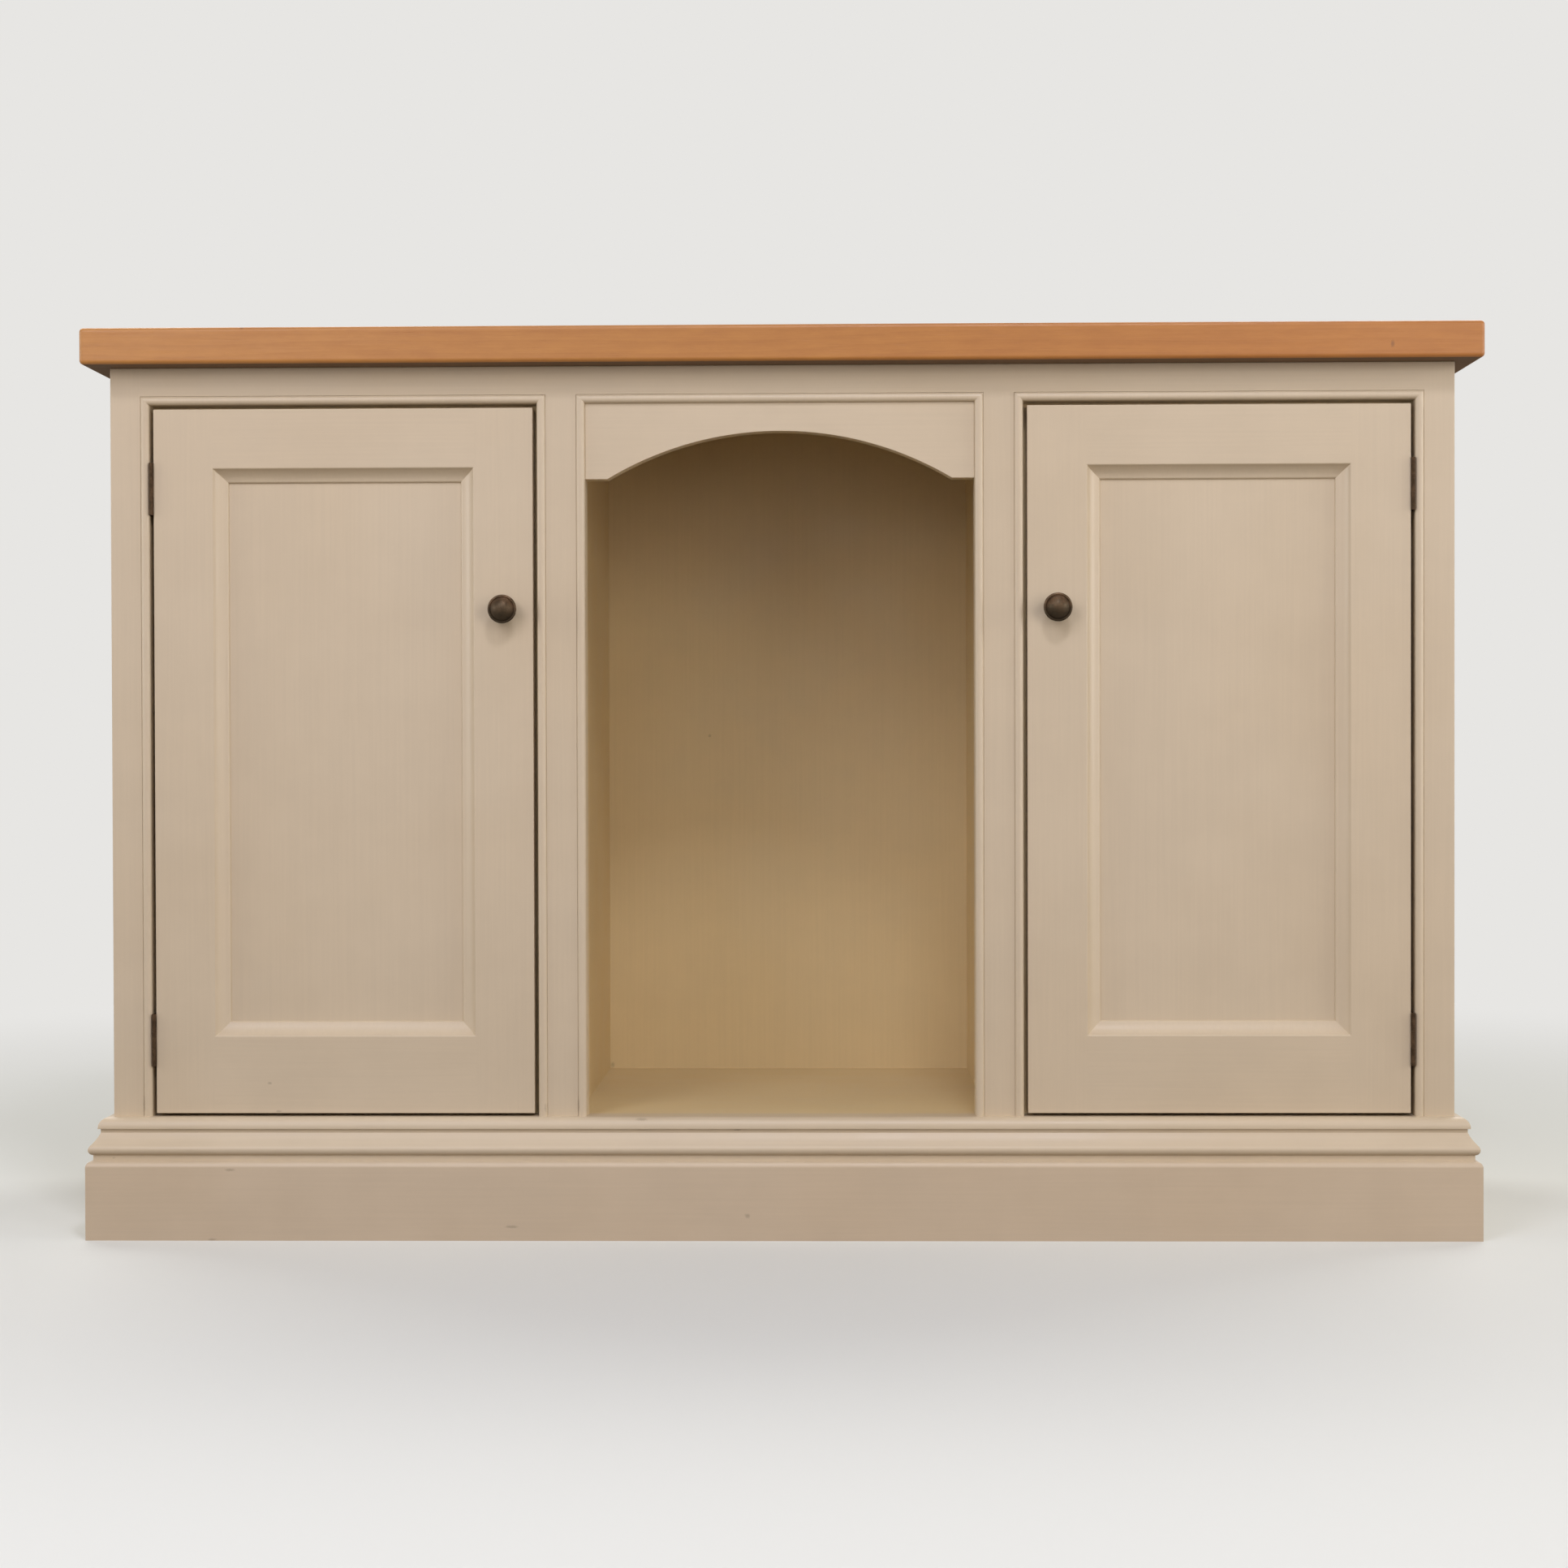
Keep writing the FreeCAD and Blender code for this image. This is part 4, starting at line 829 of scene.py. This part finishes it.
def solids_of(name):
    """The box of each separate solid of a node."""
    shape = bmesh.new()
    shape.from_mesh(nodes[name].data)
    bmesh.ops.remove_doubles(shape, verts=shape.verts, dist=SAME_CORNER)
    boxes = []
    waiting = set(shape.verts)
    while waiting:
        front = [waiting.pop()]
        found = []
        while front:
            corner = front.pop()
            found.append(corner.co.copy())
            for edge in corner.link_edges:
                other = edge.other_vert(corner)
                if other in waiting:
                    waiting.remove(other)
                    front.append(other)
        boxes.append(box_of(found))
    shape.free()
    return sorted(boxes, key=lambda box: tuple(box[0]))


def slotted_head(shape, turn, radius, height, slot, depth):
    """Adds a round screw head with a slot across it, standing on z = 0 before the turn."""
    half = math.asin(slot / 2 / radius)
    sweep = math.pi - 2 * half

    def corner(angle, level):
        return shape.verts.new(turn @ Vector((radius * math.cos(angle), radius * math.sin(angle), level)))

    feet, floors = [], []
    for start in (half, math.pi + half):
        angles = [start + sweep * step / HEAD_ARC_STEPS for step in range(HEAD_ARC_STEPS + 1)]
        tops = [corner(angle, height) for angle in angles]
        lows = [corner(angle, 0.0) for angle in angles]
        ends = [corner(angle, height - depth) for angle in (angles[0], angles[-1])]
        shape.faces.new(tops)
        shape.faces.new((tops[0], tops[-1], ends[1], ends[0]))
        for step in range(HEAD_ARC_STEPS):
            wall = [lows[step], lows[step + 1]]
            wall += [ends[1]] if step == HEAD_ARC_STEPS - 1 else []
            wall += [tops[step + 1], tops[step]]
            wall += [ends[0]] if step == 0 else []
            shape.faces.new(wall)
        feet.append(lows)
        floors.append(ends)
    shape.faces.new((*floors[0], *floors[1]))
    shape.faces.new((floors[0][1], floors[1][0], feet[1][0], feet[0][-1]))
    shape.faces.new((floors[1][1], floors[0][0], feet[0][0], feet[1][-1]))
    shape.faces.new((*feet[0], *feet[1]))


def make_screws(node, piece, body, slot, outward, head, sunk):
    """Slotted screws in place of a node's plain ones. outward(middle) is the way a head faces."""
    shape = bmesh.new()
    radius = head / 2
    shank = head * SHANK_SHARE
    rim = SUNK_RIM if sunk else head * ROUND_RIM_SHARE
    groove = SUNK_GROOVE if sunk else head * ROUND_GROOVE_SHARE
    neck = radius * SUNK_NECK_SHARE if sunk else shank
    for low, high in solids_of(node):
        middle = (low + high) / 2
        facing = Vector(outward(middle)).normalized()
        length = abs((high - low).dot(facing))
        turn = facing.to_track_quat("Z", "Y").to_matrix().to_4x4()
        turn = Matrix.Translation(middle + facing * length / 2) @ turn
        turn = turn @ Matrix.Rotation(RANDOM.uniform(0, math.pi), 4, "Z")
        seat = turn @ Matrix.Translation((0, 0, -rim))
        slotted_head(shape, seat, radius, rim, head * SLOT_SHARE, groove)
        profile = [
            (TIP_RADIUS, -length),
            (shank / 2, -length + HALF_POINT),
            (shank, -length + POINT),
            (shank, -rim - (radius - shank) * CONE_SHARE),
            (neck, -rim),
            (shank, -rim + HEAD_SEAT),
        ]
        turned(shape, profile, turn, SHANK_STEPS)
    made = mesh_piece(piece, body, SLOT_FINISHES[slot], shape)
    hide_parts(node)


def make_all_screws():
    """The screws of the hinges, the top and the knobs."""
    def inward(middle):
        return (-middle.x, 0, 0)

    def away(middle):
        return (middle.x, 0, 0)

    def down(middle):
        return (0, 0, -1)

    def back(middle):
        return (0, 1, 0)

    make_screws("frame_hinge_screws", "frame_leaf_screws", CARCASS, "hinge_metal", inward, LEAF_HEAD, True)
    make_screws("top_fixing_screws", "top_screws", CARCASS, "steel", down, ROUND_HEAD, False)
    for side in SIDES:
        door = f"{side}_door"
        leaf_screws = f"{side}_leaf_screws"
        make_screws(f"{door}_hinge_screws", leaf_screws, door, "hinge_metal", away, LEAF_HEAD, True)
        make_screws(f"{door}_knob_screw", f"{side}_knob_bolt", door, "steel", back, ROUND_HEAD, False)


def make_floor():
    """A plain pale floor that keeps the object's shadow and fades into the surround further out."""
    mesh = bpy.data.meshes.new("floor")
    corners = [(x * FLOOR_REACH, y * FLOOR_REACH, 0) for x, y in ((-1, -1), (1, -1), (1, 1), (-1, 1))]
    mesh.from_pydata(corners, [], [(0, 1, 2, 3)])
    floor = bpy.data.objects.new("floor", mesh)
    bpy.context.scene.collection.objects.link(floor)
    cover = Recipe("pale_floor")
    path = cover.step("ShaderNodeLightPath").outputs
    shown = cover.math("ADD", path["Is Camera Ray"], path["Is Glossy Ray"])
    shown = cover.math("ADD", shown, path["Is Transmission Ray"], clamp=True)
    away = cover.step("ShaderNodeVectorMath", {0: cover.place}, operation="LENGTH").outputs["Value"]
    fading = cover.math("MULTIPLY", shown, cover.spread(away, *FLOOR_FADE))
    lit = cover.mix(shown, FLOOR_BOUNCE, FLOOR_PALE)
    cover.set(
        Base_Color=cover.mix(fading, lit, BLACK),
        Emission_Color=(*PALE_STAGE, 1.0),
        Emission_Strength=fading,
        Roughness=0.9,
        Specular_IOR_Level=0.0,
    )
    mesh.materials.append(cover.material)


def make_surround():
    """A pale surround that is seen, straight or in gloss, but gives no light of its own."""
    world = bpy.data.worlds.new("surround")
    bpy.context.scene.world = world
    world.use_nodes = True
    tree = world.node_tree
    tree.nodes.clear()
    make = tree.nodes.new
    link = tree.links.new
    path = make("ShaderNodeLightPath").outputs
    total = path["Is Camera Ray"]
    for other in ("Is Glossy Ray", "Is Transmission Ray"):
        add = make("ShaderNodeMath")
        link(total, add.inputs[0])
        link(path[other], add.inputs[1])
        total = add.outputs[0]
    unlit = make("ShaderNodeBackground")
    unlit.inputs["Strength"].default_value = 0.0
    shown = make("ShaderNodeBackground")
    shown.inputs["Color"].default_value = (*PALE_STAGE, 1.0)
    shown.inputs["Strength"].default_value = 1.0
    mix = make("ShaderNodeMixShader")
    for socket, source in zip(mix.inputs, (total, unlit.outputs[0], shown.outputs[0])):
        link(source, socket)
    link(mix.outputs[0], make("ShaderNodeOutputWorld").inputs["Surface"])


def make_lamps():
    """Soft rectangular lamps round the object, each aimed at its heart."""
    for name, (around, up, away, wide, high, power, colour) in LAMPS.items():
        light = bpy.data.lights.new(name, "AREA")
        light.shape = "RECTANGLE"
        light.size = wide
        light.size_y = high
        light.energy = power
        light.color = colour
        around, up = math.radians(around), math.radians(up)
        back = Vector((math.sin(around) * math.cos(up), -math.cos(around) * math.cos(up), math.sin(up)))
        lamp = bpy.data.objects.new(name, light)
        lamp.location = HEART + away * back
        lamp.rotation_euler = back.to_track_quat("Z", "Y").to_euler()
        bpy.context.scene.collection.objects.link(lamp)


def make_camera():
    """The camera where the photograph was taken from."""
    lens = bpy.data.cameras.new("camera")
    lens.sensor_width = SENSOR_WIDTH
    lens.lens = FOCAL_PIXELS / PHOTO_SIDE * SENSOR_WIDTH
    camera = bpy.data.objects.new("camera", lens)
    heading = Matrix.Rotation(CAMERA_YAW, 4, "Z")
    tilt = Matrix.Rotation(math.pi / 2 - CAMERA_DIP, 4, "X")
    roll = Matrix.Rotation(CAMERA_ROLL, 4, "Z")
    camera.matrix_world = Matrix.Translation(CAMERA_PLACE) @ heading @ tilt @ roll
    bpy.context.scene.collection.objects.link(camera)
    bpy.context.scene.camera = camera


finish_nodes()
make_knobs()
make_all_screws()
make_floor()
make_surround()
make_lamps()
make_camera()
bpy.context.scene.view_settings.view_transform = "Standard"
